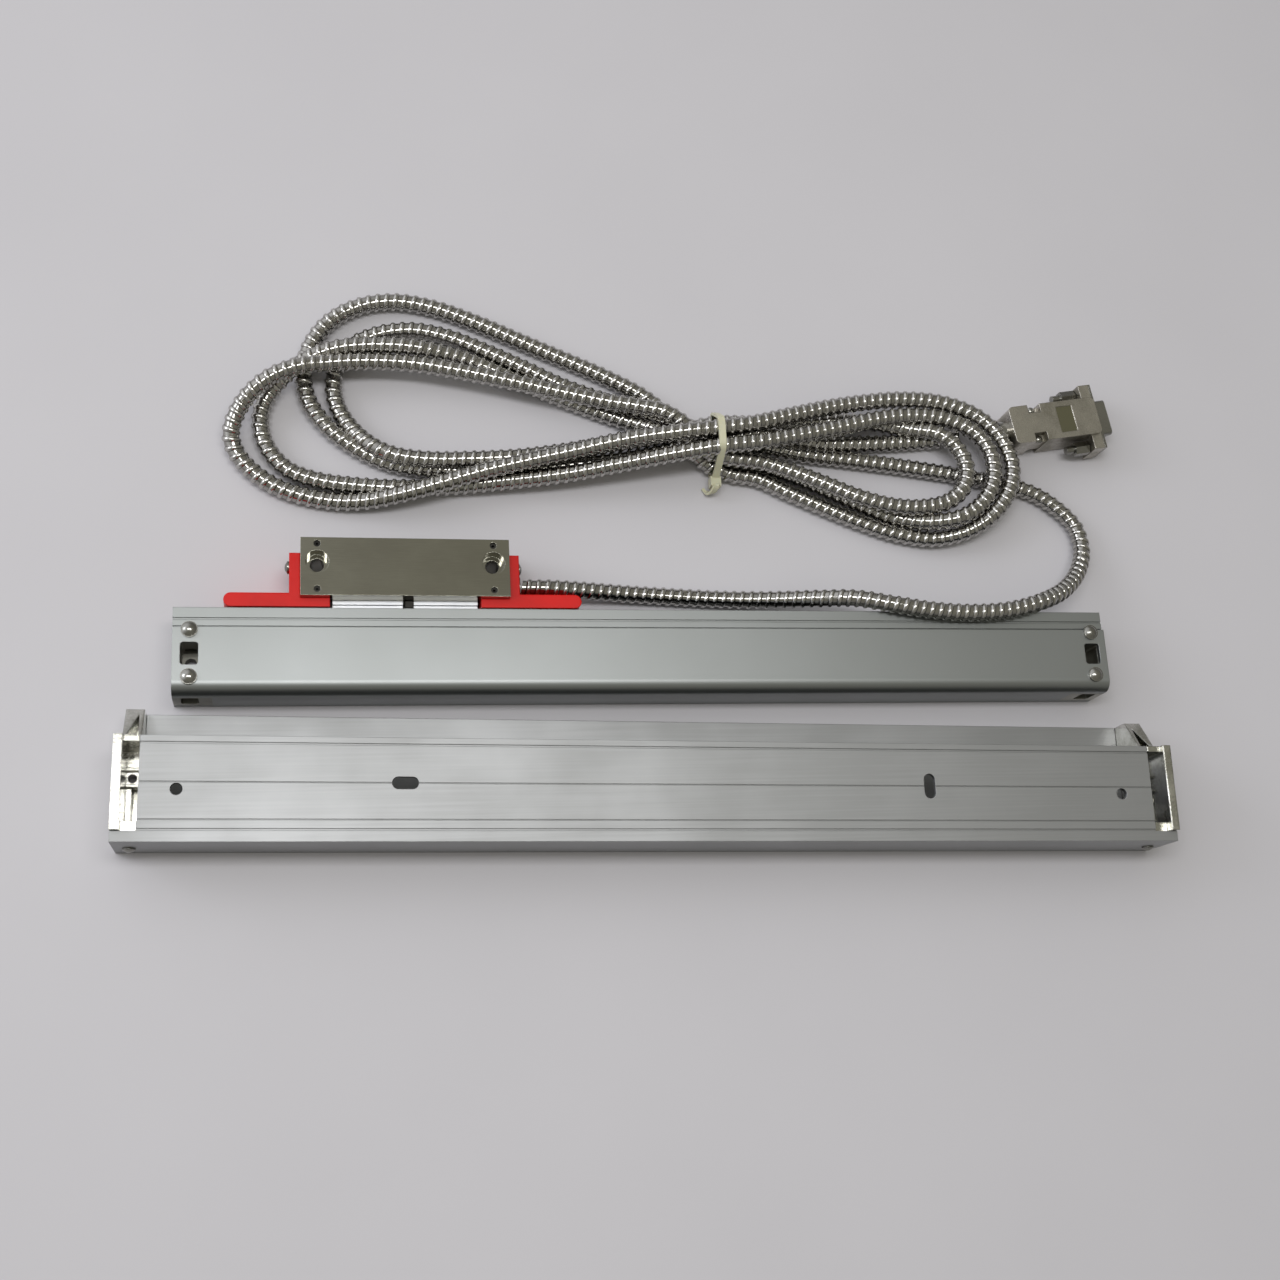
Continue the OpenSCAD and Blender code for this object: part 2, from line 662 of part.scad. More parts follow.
// One bracket; s is -1 on the left end of the head and 1 on the right, hole is the cable's way out
module transport_bracket(s, hole) {
    end_x = head_l / 2;
    at_head() mirror([s < 0 ? 1 : 0, 0, 0]) difference() {
        union() {
            box([end_x, slide_gap - head_gap, bracket_z0],
                [end_x + leg_t, leg_w - head_gap + 3, bracket_z0 + bracket_h]);
            box([end_x, slide_gap - head_gap, bracket_z0],
                [end_x + foot_out - foot_t / 2, slide_gap - head_gap + foot_t, bracket_z0 + bracket_h]);
            translate([end_x + foot_out - foot_t / 2, slide_gap - head_gap + foot_t / 2, bracket_z0])
                cylinder(h = bracket_h, r = foot_t / 2);
            box([end_x - tongue_l, slide_gap - head_gap, bracket_z0], [end_x, 0, bracket_z0 + bracket_h]);
        }
        if (hole) {
            translate([0, gland_y - head_y0, cable_exit_z])
                rod_x(gland_r + clearance, end_x - cut, end_x + leg_t + cut);
            box([end_x - cut, gland_y - head_y0 - gland_r - clearance, bracket_z0 - cut],
                [end_x + leg_t + cut, gland_y - head_y0 + gland_r + clearance, cable_exit_z]);
        }
        translate([0, bracket_screw_y, bracket_screw_z])
            rod_x(bracket_screw_d / 2 + clearance, end_x - cut, end_x + leg_t + cut);
    }
}
module transport_bracket_left() { color("red") transport_bracket(-1, false); }
module transport_bracket_right() { color("red") transport_bracket(1, true); }

module bracket_screws() {
    color("gainsboro") at_head() for (s = [-1, 1])
        translate([s * (head_l / 2 + leg_t), bracket_screw_y, bracket_screw_z]) rotate([0, s * 90, 0])
            pan_screw(bracket_screw_head, 1.8, bracket_screw_d, leg_t + bracket_screw_l - 0.2);
}

module cable_gland() {
    color("gainsboro") translate([head_x + head_l / 2, gland_y, cable_exit_z]) {
        rod_x(gland_r, 0, gland_out - cable_start);
        rod_x(wire_r, -8, 0);
    }
}

// ---------------------------------------------------------------- cable

module cable_lead() { color("silver") tube(LEAD, cable_d / 2); }

// Y-Z outline of the gathered runs, made larger all round by gap
module waist_outline(gap = 0) {
    translate([tie_y, 0]) hull() for (p = RUNS) translate(p) circle(cable_d / 2 + gap, $fn = 32);
}

module cable_hank() {
    color("silver") difference() {
        union() {
            translate([0, 0, hank_z0]) linear_extrude(hank_z1 - hank_z0)
                offset(r = lobe_r, $fn = 24) polygon(HANK);
            along_x(waist_l, tie_x) waist_outline();
        }
        // the channel that the tie lies in
        along_x(tie_w + 2 * tie_room, tie_x) difference() {
            translate([tie_y - 2 * lobe_r, -cut]) square([4 * lobe_r, 2 * hank_z1]);
            waist_outline();
        }
    }
}

module cable_tail() {
    color("silver") at_plug() tube([[-collar_l - tail_l, 0, 0], [-collar_l, 0, 0]], cable_d / 2);
}

module cable_tie() {
    near = tie_y + RUNS[0][0] - cable_d / 2 - clearance;
    color("palegoldenrod") {
        along_x(tie_w, tie_x) difference() {
            waist_outline(clearance + tie_t);
            waist_outline(clearance);
        }
        box([tie_x - lock_w / 2, near - tie_t - lock_t, lock_z0], [tie_x + lock_w / 2, near, lock_z1]);
    }
}

// ---------------------------------------------------------------- plug

// Places children at the plug: x runs from the cable to the pins, z = 0 is the parting plane
module at_plug() { translate([plug_x, plug_y, plug_z]) rotate([0, 0, plug_turn]) children(); }

module plug_collar() {
    color("gainsboro") at_plug() {
        rod_x(collar_r, -collar_l, 0);
        rod_x(collar_r - 1.5, 0, 4);
    }
}

// Outline of the hood from above
module hood_outline(inset = 0) {
    translate([hood_l / 2, 0]) round_rect(hood_l - 2 * inset, hood_w - 2 * inset, 2.2 - inset);
}

// One half of the hood: s is 1 for the upper shell and -1 for the lower one
module hood(s) {
    at_plug() mirror([0, 0, s < 0 ? 1 : 0]) difference() {
        union() {
            linear_extrude(hood_h / 2) difference() {
                hood_outline();
                for (sy = [-1, 1]) translate([notch_x, sy * hood_w / 2])
                    square([notch_l, 1.2], center = true);
            }
            box([hood_l - ear_l, -ear_w / 2, 0], [hood_l, ear_w / 2, ear_h / 2]);
        }
        translate([0, 0, -cut]) linear_extrude(hood_h / 2 - hood_wall + cut) difference() {
            hood_outline(hood_wall);
            for (sy = [-1, 1]) translate([notch_x, sy * (hood_w - notch_w) / 2])
                square([notch_l, notch_w] + 2.4 * [1, 1], center = true);
        }
        box([hood_l - hood_wall - cut, -skirt_w / 2 + 0.6, -cut],
            [hood_l + cut, skirt_w / 2 - 0.6, skirt_h / 2 - 0.6]);
        rod_x(collar_r - 1.5 + clearance, -cut, hood_wall + cut);
        for (sy = [-1, 1]) {
            translate([0, sy * jack_pitch / 2, 0])
                rod_x(jack_d / 2 + run_gap, hood_l - ear_l - cut, hood_l + cut);
            translate([notch_x, sy * (hood_w / 2 - notch_w / 2), 0]) {
                translate([0, 0, hood_h / 2 - notch_h]) linear_extrude(hood_h)
                    square([notch_l, notch_w + 0.4], center = true);
                translate([0, 0, -cut]) cylinder(h = hood_h, r = 1.1);
            }
        }
        translate([label_x, 0, hood_h / 2 - label_depth]) linear_extrude(cut)
            round_rect(label_w, label_l, 0.4);
    }
}
module hood_lower() { color("darkgray") hood(-1); }
module hood_upper() { color("darkgray") hood(1); }

module hood_screws() {
    color("gainsboro") at_plug() for (sy = [-1, 1])
        translate([notch_x, sy * (hood_w / 2 - notch_w / 2), hood_h / 2 - notch_h])
            pan_screw(3.5, 1.6, 2, hood_h - 2 * notch_h);
}

// Outline of the D-shaped skirt across the plug, made smaller by inset
module skirt_outline(inset = 0) {
    r = 1.8;
    d = r + inset;
    offset(r = r, $fn = 24)
        polygon([[-skirt_w / 2 + d, skirt_h / 2 - d], [skirt_w / 2 - d, skirt_h / 2 - d],
        [skirt_w / 2 - d - 1, -skirt_h / 2 + d], [-skirt_w / 2 + d + 1, -skirt_h / 2 + d]]);
}

module plug_shell() {
    color("gainsboro") at_plug() translate([hood_l, 0, 0]) difference() {
        union() {
            box([0, -ear_w / 2, -ear_h / 2], [flange_t, ear_w / 2, ear_h / 2]);
            rotate([90, 0, 90]) linear_extrude(flange_t + skirt_l) skirt_outline();
        }
        translate([-cut, 0, 0]) rotate([90, 0, 90]) linear_extrude(flange_t + skirt_l + 2 * cut)
            skirt_outline(skirt_t);
        for (sy = [-1, 1]) translate([0, sy * jack_pitch / 2, 0])
            rod_x(jack_d / 2 + run_gap, -cut, flange_t + cut);
    }
}

pin_spots = [for (i = [-2:0.5:2]) [i * pin_pitch, (i == round(i) ? 1 : -1) * pin_row / 2]];

module plug_insert() {
    color("black") at_plug() translate([hood_l, 0, 0]) difference() {
        rotate([90, 0, 90]) linear_extrude(flange_t + 1) skirt_outline(skirt_t + 0.05);
        for (p = pin_spots) translate([0, p[0], p[1]]) rod_x(0.55, -cut, flange_t + 2);
    }
}

module plug_pins() {
    color("gold") at_plug() translate([hood_l, 0, 0]) for (p = pin_spots) translate([0, p[0], p[1]]) {
        rod_x(0.5, -3, flange_t + skirt_l - 1, $fn = 16);
    }
}

// A hex-headed jackscrew beside the hood: s is 1 on the far side and -1 on the near side
module jackscrew(s) {
    x0 = hood_l - ear_l - slide_gap;
    at_plug() translate([0, s * jack_pitch / 2, 0]) {
        rod_x(jack_d / 2, x0 - cut, hood_l + flange_t + jack_tip_l);
        translate([x0 - jack_head_l, 0, 0]) rotate([0, 90, 0])
            cylinder(h = jack_head_l, d = jack_flats / cos(30), $fn = 6);
        rod_x(jack_d * 0.6, x0 - jack_head_l - jack_tail_l, x0 - jack_head_l);
    }
}
module jackscrew_far() { color("gainsboro") jackscrew(1); }
module jackscrew_near() { color("gainsboro") jackscrew(-1); }

// ---------------------------------------------------------------- dust cover

module at_cover() { translate([cover_x, cover_y, 0]) rotate([0, 0, cover_turn]) children(); }

// Y-Z outline of the cover: a channel on its side, its mouth towards the housing
module cover_outline() {
    difference() {
        square([cover_w, cover_h]);
        translate([near_wall_t, cover_t]) square([cover_w, cover_h - 2 * cover_t]);
        translate([lid_w, cover_t]) square([cover_w, cover_h]);
        for (y = [near_strip, lid_w - 3.2]) translate([y, cover_h - groove_depth])
            square([groove_w, groove_depth + cut]);
        for (y = [near_strip + 4, slot_y - groove_w / 4]) translate([y, cover_h - groove_depth / 2])
            square([groove_w / 2, groove_depth + cut]);
    }
}

module cover_profile() {
    color("silver") at_cover() difference() {
        along_x(cover_l) cover_outline();
        for (s = [-1, 1]) {
            // room for the end brackets: under the near strip and up through the flanges
            translate([s * (cover_l + cut - end_l) / 2, 0, 0]) {
                box([-(end_l + cut) / 2, near_wall_t, -cut],
                    [(end_l + cut) / 2, cover_w + cut, cover_h - cover_t]);
                box([-(end_l + cut) / 2, near_strip, 0], [(end_l + cut) / 2, cover_w + cut, cover_h + cut]);
            }
            translate([s * (cover_l / 2 - cover_screw_x), 0, cover_screw_z])
                rod_y(cover_screw_d / 2 + clearance, -cut, near_wall_t + cut);
            translate([s * (profile_l / 2 - cover_hole_inset), cover_hole_y, cover_h / 2])
                cylinder(h = cover_h, r = cover_hole_r);
        }
        translate([-slot_x, slot_y, cover_h / 2]) linear_extrude(cover_h) slot(slot_w, slot_l);
        translate([slot_x, slot_y, cover_h / 2]) rotate([0, 0, 90]) linear_extrude(cover_h)
            slot(slot_w, slot_l);
    }
}

// Places children at one end of the cover: x runs inwards from its outer face
module at_cover_end(s)
    { at_cover() translate([s * cover_l / 2, 0, 0]) mirror([s > 0 ? 1 : 0, 0, 0]) children(); }

// A cast end bracket: an upright end wall, a ribbed base with the fixing hole, and an ear at the mouth
module cover_end(s) {
    x1 = end_l - clearance;
    y0 = near_wall_t + clearance;
    under = cover_h - cover_t - clearance;
    rib_y = [bracket_hole_y - boss_half, bracket_hole_y + boss_half];
    at_cover_end(s) difference() {
        union() {
            box([0, y0, 0], [end_wall, lid_w, under]);
            box([0, near_strip + clearance, 0], [end_wall, lid_w, cover_h + end_rise]);
            box([0, lid_w - 2 * rib_t, 0], [x1, lid_w, cover_h]);
            box([0, y0, 0], [x1, y0 + screw_pad_w, under]);
            box([0, y0, 0], [x1, lid_w, pad_h]);
            for (y = rib_y) box([0, y - rib_t / 2, 0], [x1, y + rib_t / 2, pad_h + rib_h]);
            cover_ear(x1);
        }
        // pocket between the screw pad and the ribs, with a rim on its inner side
        box([end_wall + 2.2, y0 + screw_pad_w, end_base], [x1 - rib_t, rib_y[0] - rib_t / 2, pad_h + cut]);
        translate([bracket_hole_x, bracket_hole_y, -cut]) cylinder(h = cover_h, r = bracket_hole_r);
        translate([end_wall + 1.4, lid_w - 2 * rib_t - 2, end_base]) cylinder(h = cover_h / 2, r = 1.1);
        translate([cover_screw_x, 0, cover_screw_z])
            rod_y(cover_screw_d / 2 + clearance / 2, y0 - cut, y0 + screw_pad_w + cut);
    }
}

// The ear: a low corner that slopes down to the edge of the lower flange, with an open pocket
module cover_ear(x1) {
    difference() {
        along_x(x1 - ear_x, (x1 + ear_x) / 2) polygon([[lid_w - 2 * rib_t, 0], [cover_w, 0],
            [cover_w, ear_tip_h], [lid_w, ear_top_h], [lid_w - 2 * rib_t, ear_top_h]]);
        translate([0, 0, end_base]) linear_extrude(cover_h)
            polygon([[ear_x + rib_t, lid_w + 0.6], [x1 - rib_t, lid_w + 0.6],
                [x1 - 1.8, cover_w - 2 * rib_t]]);
    }
}
module cover_end_left() { color("gainsboro") cover_end(-1); }
module cover_end_right() { color("gainsboro") cover_end(1); }

module cover_screws() {
    color("dimgray") for (s = [-1, 1]) at_cover_end(s) translate([cover_screw_x, 0, cover_screw_z])
        rotate([90, 0, 0]) pan_screw(cover_screw_head, 1.8, cover_screw_d, cover_screw_l);
}

housing();
end_block_left();
end_block_right();
end_gasket_left();
end_gasket_right();
block_screws();
glass_scale();
glass_bond();
lip_upper();
lip_lower();
head_block();
head_cover();
adjust_screws();
circuit_board();
blade();
carriage();
lamp_module();
reticle();
detector_board();
roller_pins();
face_roller_left();
face_roller_right();
face_roller_middle();
edge_roller_left();
edge_roller_right();
transport_bracket_left();
transport_bracket_right();
bracket_screws();
cable_gland();
cable_lead();
cable_hank();
cable_tail();
cable_tie();
plug_collar();
hood_lower();
hood_upper();
hood_screws();
plug_shell();
plug_insert();
plug_pins();
jackscrew_far();
jackscrew_near();
cover_profile();
cover_end_left();
cover_end_right();
cover_screws();
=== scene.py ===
"""Linear glass scale with its reading head, armoured cable, plug and dust cover.

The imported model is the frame: every piece here lies in its axes, in metres, and rides on one of its bodies.
Each sub-assembly is a class that holds its sizes and makes and dresses its own pieces.
"""

import sys
import logging
import math
from dataclasses import dataclass, field
from enum import Enum

import bpy
import numpy as np
from mathutils import Matrix, Vector


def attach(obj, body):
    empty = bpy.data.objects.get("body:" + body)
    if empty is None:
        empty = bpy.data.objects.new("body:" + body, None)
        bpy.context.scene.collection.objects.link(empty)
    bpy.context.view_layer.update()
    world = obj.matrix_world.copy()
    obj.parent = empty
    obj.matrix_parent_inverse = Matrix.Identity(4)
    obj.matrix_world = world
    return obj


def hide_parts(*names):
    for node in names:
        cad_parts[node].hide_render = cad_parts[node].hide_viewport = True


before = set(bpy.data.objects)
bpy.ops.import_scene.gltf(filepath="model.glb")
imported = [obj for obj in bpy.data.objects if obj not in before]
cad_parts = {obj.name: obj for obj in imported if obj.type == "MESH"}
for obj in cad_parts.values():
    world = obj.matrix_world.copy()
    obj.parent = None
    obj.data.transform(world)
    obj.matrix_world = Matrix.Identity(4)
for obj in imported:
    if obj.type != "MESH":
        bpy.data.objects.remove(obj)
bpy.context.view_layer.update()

MM: float = 0.001

log = logging.getLogger("glass_scale")


# ---------------------------------------------------------------------------
# Small helpers
# ---------------------------------------------------------------------------


def linear(colour: str) -> tuple[float, float, float, float]:
    """Turns an sRGB hex colour into linear values.

    Args:
        colour: six hex digits after a hash, such as "#C8C6CA".

    Returns:
        Red, green, blue and an alpha of 1, in linear light.
    """
    parts = [int(colour[i : i + 2], 16) / 255 for i in (1, 3, 5)]
    red, green, blue = (
        p / 12.92 if p <= 0.04045 else ((p + 0.055) / 1.055) ** 2.4 for p in parts
    )
    return red, green, blue, 1.0


def add(
    tree: bpy.types.NodeTree,
    kind: str,
    inputs: dict[str | int, object] | None = None,
    **settings: object,
) -> bpy.types.Node:
    """Adds one node with its settings, its values and its links.

    Args:
        tree: the node tree it goes in.
        kind: the node's type, such as "ShaderNodeTexNoise".
        inputs: for each input, by name or number, a value or the output that feeds it.
        settings: the node's own properties.

    Returns:
        The node.
    """
    node = tree.nodes.new(kind)
    for name, value in settings.items():
        setattr(node, name, value)
    for key, value in (inputs or {}).items():
        if isinstance(value, bpy.types.NodeSocket):
            tree.links.new(value, node.inputs[key])
        else:
            node.inputs[key].default_value = value
    return node


def mesh_piece(
    name: str,
    points: np.ndarray,
    faces: list[tuple[int, ...]],
    material: bpy.types.Material,
    smooth: bool = True,
) -> bpy.types.Object:
    """Makes a mesh object and puts it in the scene.

    Args:
        name: the piece's name.
        points: its vertices, one row each, in metres.
        faces: its faces, as vertex numbers.
        material: what it is dressed in.
        smooth: whether its faces are shaded smooth.

    Returns:
        The object.
    """
    mesh = bpy.data.meshes.new(name)
    mesh.from_pydata([tuple(p) for p in points.tolist()], [], faces)
    mesh.polygons.foreach_set("use_smooth", [smooth] * len(mesh.polygons))
    mesh.materials.append(material)
    mesh.update()
    made = bpy.data.objects.new(name, mesh)
    bpy.context.scene.collection.objects.link(made)
    return made


def prism(
    name: str,
    outline: list[tuple[float, float]],
    low: float,
    high: float,
    place: Matrix,
    material: bpy.types.Material,
    edge: float,
) -> bpy.types.Object:
    """Makes a solid from an outline, with its edges broken.

    Args:
        name: the piece's name.
        outline: its section, counter-clockwise, in millimetres.
        low: where it starts along the third axis, in millimetres.
        high: where it ends.
        place: turns outline and length to the object's axes, in metres.
        material: what it is dressed in.
        edge: the width of the broken edge, in millimetres.

    Returns:
        The object.
    """
    n = len(outline)
    points = [place @ Vector((u * MM, v * MM, w * MM)) for w in (low, high) for u, v in outline]
    faces = [(i, (i + 1) % n, n + (i + 1) % n, n + i) for i in range(n)]
    faces += [tuple(reversed(range(n))), tuple(range(n, 2 * n))]
    made = mesh_piece(name, np.array([tuple(p) for p in points]), faces, material, False)
    broken = made.modifiers.new("broken edges", "BEVEL")
    broken.width, broken.segments, broken.limit_method = edge * MM, 2, "ANGLE"
    log.info("%s, %d corners", name, n)
    return made


def smooth_path(points: list[tuple[float, float, float]], per_span: int) -> np.ndarray:
    """Runs a smooth curve through a list of points, without loops or kinks.

    Args:
        points: the points that it passes through.
        per_span: how many steps there are between two of them.

    Returns:
        The curve's points, one row each, in the units of the input.
    """
    p = np.array(points, float)
    p = np.vstack([2 * p[0] - p[1], p, 2 * p[-1] - p[-2]])
    out = []
    for i in range(1, len(p) - 2):
        a, b, c, d = p[i - 1 : i + 3]
        ta = 0.0
        tb = ta + np.linalg.norm(b - a) ** 0.5
        tc = tb + np.linalg.norm(c - b) ** 0.5
        td = tc + np.linalg.norm(d - c) ** 0.5
        t = np.linspace(tb, tc, per_span, endpoint=False)[:, None]
        ab = (tb - t) / (tb - ta) * a + (t - ta) / (tb - ta) * b
        bc = (tc - t) / (tc - tb) * b + (t - tb) / (tc - tb) * c
        cd = (td - t) / (td - tc) * c + (t - tc) / (td - tc) * d
        abc = (tc - t) / (tc - ta) * ab + (t - ta) / (tc - ta) * bc
        bcd = (td - t) / (td - tb) * bc + (t - tb) / (td - tb) * cd
        out.append((tc - t) / (tc - tb) * abc + (t - tb) / (tc - tb) * bcd)
    return np.vstack(out + [p[-2][None]])


def even_steps(line: np.ndarray, step: float) -> np.ndarray:
    """Spaces a line's points evenly along it.

    Args:
        line: the points of the line.
        step: about how far apart the new points are.

    Returns:
        The new points, the first and the last where they were.
    """
    far = np.r_[0.0, np.cumsum(np.linalg.norm(np.diff(line, axis=0), axis=1))]
    at = np.linspace(0.0, far[-1], max(2, round(far[-1] / step) + 1))
    return np.stack([np.interp(at, far, line[:, k]) for k in range(3)], 1)


# ---------------------------------------------------------------------------
# Finishes
# ---------------------------------------------------------------------------


@dataclass(frozen=True)
class Metal:
    """A metal surface, whose grain, mottle and wear follow from how it was made.

    Attributes:
        name: what the finish is called in the workshop.
        colour: the metal's usual colour.
        shade: its colour where the surface is duller.
        roughness: usual roughness, and how far it wanders either way.
        grain: size of one grain along X, Y and Z, in millimetres.
        depth: how deep the grain is, in millimetres.
        edge: how far a worn edge is rounded, in millimetres.
        blotch: size of the large, faint blotches, in millimetres.
    """

    name: str
    colour: str
    shade: str
    roughness: tuple[float, float]
    grain: tuple[float, float, float]
    depth: float
    edge: float = 0.25
    blotch: float = 40.0

    def material(self) -> bpy.types.Material:
        """Makes the material.

        Returns:
            The material, built from nodes.
        """
        made = bpy.data.materials.new(self.name)
        made.use_nodes = True
        tree = made.node_tree
        tree.nodes.clear()
        where = add(tree, "ShaderNodeTexCoord").outputs["Object"]
        drawn = add(
            tree,
            "ShaderNodeMapping",
            {"Vector": where, "Scale": tuple(1 / (g * MM) for g in self.grain)},
        )
        grain = add(
            tree,
            "ShaderNodeTexNoise",
            {"Vector": drawn.outputs[0], "Scale": 1.0, "Detail": 2.0, "Roughness": 0.5},
        ).outputs["Fac"]
        blotch = add(
            tree,
            "ShaderNodeTexNoise",
            {"Vector": where, "Scale": 1 / (self.blotch * MM), "Detail": 4.0},
        ).outputs["Fac"]
        # Large blotches, broken up by the grain: grain times blotch, plus blotch
        worn = add(
            tree,
            "ShaderNodeMath",
            {0: grain, 1: blotch, 2: blotch},
            operation="MULTIPLY_ADD",
        ).outputs[0]
        mottle = add(
            tree,
            "ShaderNodeMapRange",
            {"Value": worn, "From Min": 0.5, "From Max": 1.0},
        ).outputs[0]
        tint = add(
            tree,
            "ShaderNodeMix",
            {0: mottle, 6: linear(self.colour), 7: linear(self.shade)},
            data_type="RGBA",
        ).outputs[2]
        usual, spread = self.roughness
        rough = add(
            tree,
            "ShaderNodeMapRange",
            {
                "Value": worn,
                "From Min": 0.5,
                "From Max": 1.0,
                "To Min": usual - spread,
                "To Max": usual + spread,
            },
        ).outputs[0]
        rounded = add(tree, "ShaderNodeBevel", {"Radius": self.edge * MM}, samples=4)
        bump = add(
            tree,
            "ShaderNodeBump",
            {
                "Height": grain,
                "Strength": 1.0,
                "Distance": self.depth * MM,
                "Normal": rounded.outputs[0],
            },
        )
        surface = add(
            tree,
            "ShaderNodeBsdfPrincipled",
            {
                "Base Color": tint,
                "Metallic": 1.0,
                "Roughness": rough,
                "Normal": bump.outputs[0],
            },
        )
        add(tree, "ShaderNodeOutputMaterial", {0: surface.outputs[0]})
        return made


@dataclass(frozen=True)
class Moulded:
    """A moulded plastic or rubber surface.

    Attributes:
        name: what the finish is called in the workshop.
        colour: the compound's colour.
        shade: its colour in the faint flow marks.
        roughness: usual roughness, and how far it wanders either way.
        grain: size of the mould's texture, in millimetres.
        depth: how deep that texture is, in millimetres.
        gloss: how strong the clear outer skin is, from 0 to 1.
        glow: how much light goes through the skin and out again, from 0 to 1.
        edge: how far an edge is rounded, in millimetres.
        shine: how strongly the skin reflects, 0.5 being usual for plastic.
        flow: size of the faint flow marks, in millimetres.
        skin: roughness of the clear outer skin.
    """

    name: str
    colour: str
    shade: str
    roughness: tuple[float, float]
    grain: float
    depth: float
    gloss: float = 0.0
    glow: float = 0.0
    edge: float = 0.3
    shine: float = 0.5
    flow: float = 18.0
    skin: float = 0.08

    def material(self) -> bpy.types.Material:
        """Makes the material.

        Returns:
            The material, built from nodes.
        """
        made = bpy.data.materials.new(self.name)
        made.use_nodes = True
        tree = made.node_tree
        tree.nodes.clear()
        where = add(tree, "ShaderNodeTexCoord").outputs["Object"]
        grain = add(
            tree,
            "ShaderNodeTexNoise",
            {"Vector": where, "Scale": 1 / (self.grain * MM), "Detail": 3.0},
        ).outputs["Fac"]
        flow = add(
            tree,
            "ShaderNodeTexNoise",
            {"Vector": where, "Scale": 1 / (self.flow * MM), "Detail": 3.0, "Distortion": 0.8},
        ).outputs["Fac"]
        marks = add(
            tree,
            "ShaderNodeMapRange",
            {"Value": flow, "From Min": 0.35, "From Max": 0.7},
        ).outputs[0]
        tint = add(
            tree,
            "ShaderNodeMix",
            {0: marks, 6: linear(self.colour), 7: linear(self.shade)},
            data_type="RGBA",
        ).outputs[2]
        usual, spread = self.roughness
        rough = add(
            tree,
            "ShaderNodeMapRange",
            {
                "Value": grain,
                "From Min": 0.3,
                "From Max": 0.7,
                "To Min": usual - spread,
                "To Max": usual + spread,
            },
        ).outputs[0]
        rounded = add(tree, "ShaderNodeBevel", {"Radius": self.edge * MM}, samples=4)
        bump = add(
            tree,
            "ShaderNodeBump",
            {
                "Height": grain,
                "Strength": 1.0,
                "Distance": self.depth * MM,
                "Normal": rounded.outputs[0],
            },
        )
        surface = add(
            tree,
            "ShaderNodeBsdfPrincipled",
            {
                "Base Color": tint,
                "Roughness": rough,
                "Specular IOR Level": self.shine,
                "Coat Weight": self.gloss,
                "Coat Roughness": self.skin,
                "Subsurface Weight": self.glow,
                "Subsurface Radius": (0.002, 0.0015, 0.001),
                "Normal": bump.outputs[0],
            },
        )
        add(tree, "ShaderNodeOutputMaterial", {0: surface.outputs[0]})
        return made


@dataclass(frozen=True)
class ScaleGlass:
    """Float glass with a fine chromium grating along it.

    Attributes:
        name: what the finish is called in the workshop.
        colour: the glass's colour.
        bar: the colour of the chromium bars.
        pitch: from one bar to the next, in millimetres; the real one is 0.02, drawn as 0.5 so that it shows.
    """

    name: str = "ruled float glass"
    colour: str = "#DDEBE6"
    bar: str = "#8E9392"
    pitch: float = 0.5

    def material(self) -> bpy.types.Material:
        """Makes the material.

        Returns:
            The material, built from nodes.
        """
        made = bpy.data.materials.new(self.name)
        made.use_nodes = True
        tree = made.node_tree
        tree.nodes.clear()
        where = add(tree, "ShaderNodeTexCoord").outputs["Object"]
        bars = add(
            tree,
            "ShaderNodeTexWave",
            {"Vector": where, "Scale": 1 / (20 * self.pitch * MM)},
            bands_direction="X",
        ).outputs["Fac"]
        tint = add(
            tree,
            "ShaderNodeMix",
            {0: bars, 6: linear(self.colour), 7: linear(self.bar)},
            data_type="RGBA",
        ).outputs[2]
        surface = add(
            tree,
            "ShaderNodeBsdfPrincipled",
            {
                "Base Color": tint,
                "Roughness": 0.04,
                "IOR": 1.52,
                "Transmission Weight": 0.7,
            },
        )
        add(tree, "ShaderNodeOutputMaterial", {0: surface.outputs[0]})
        return made


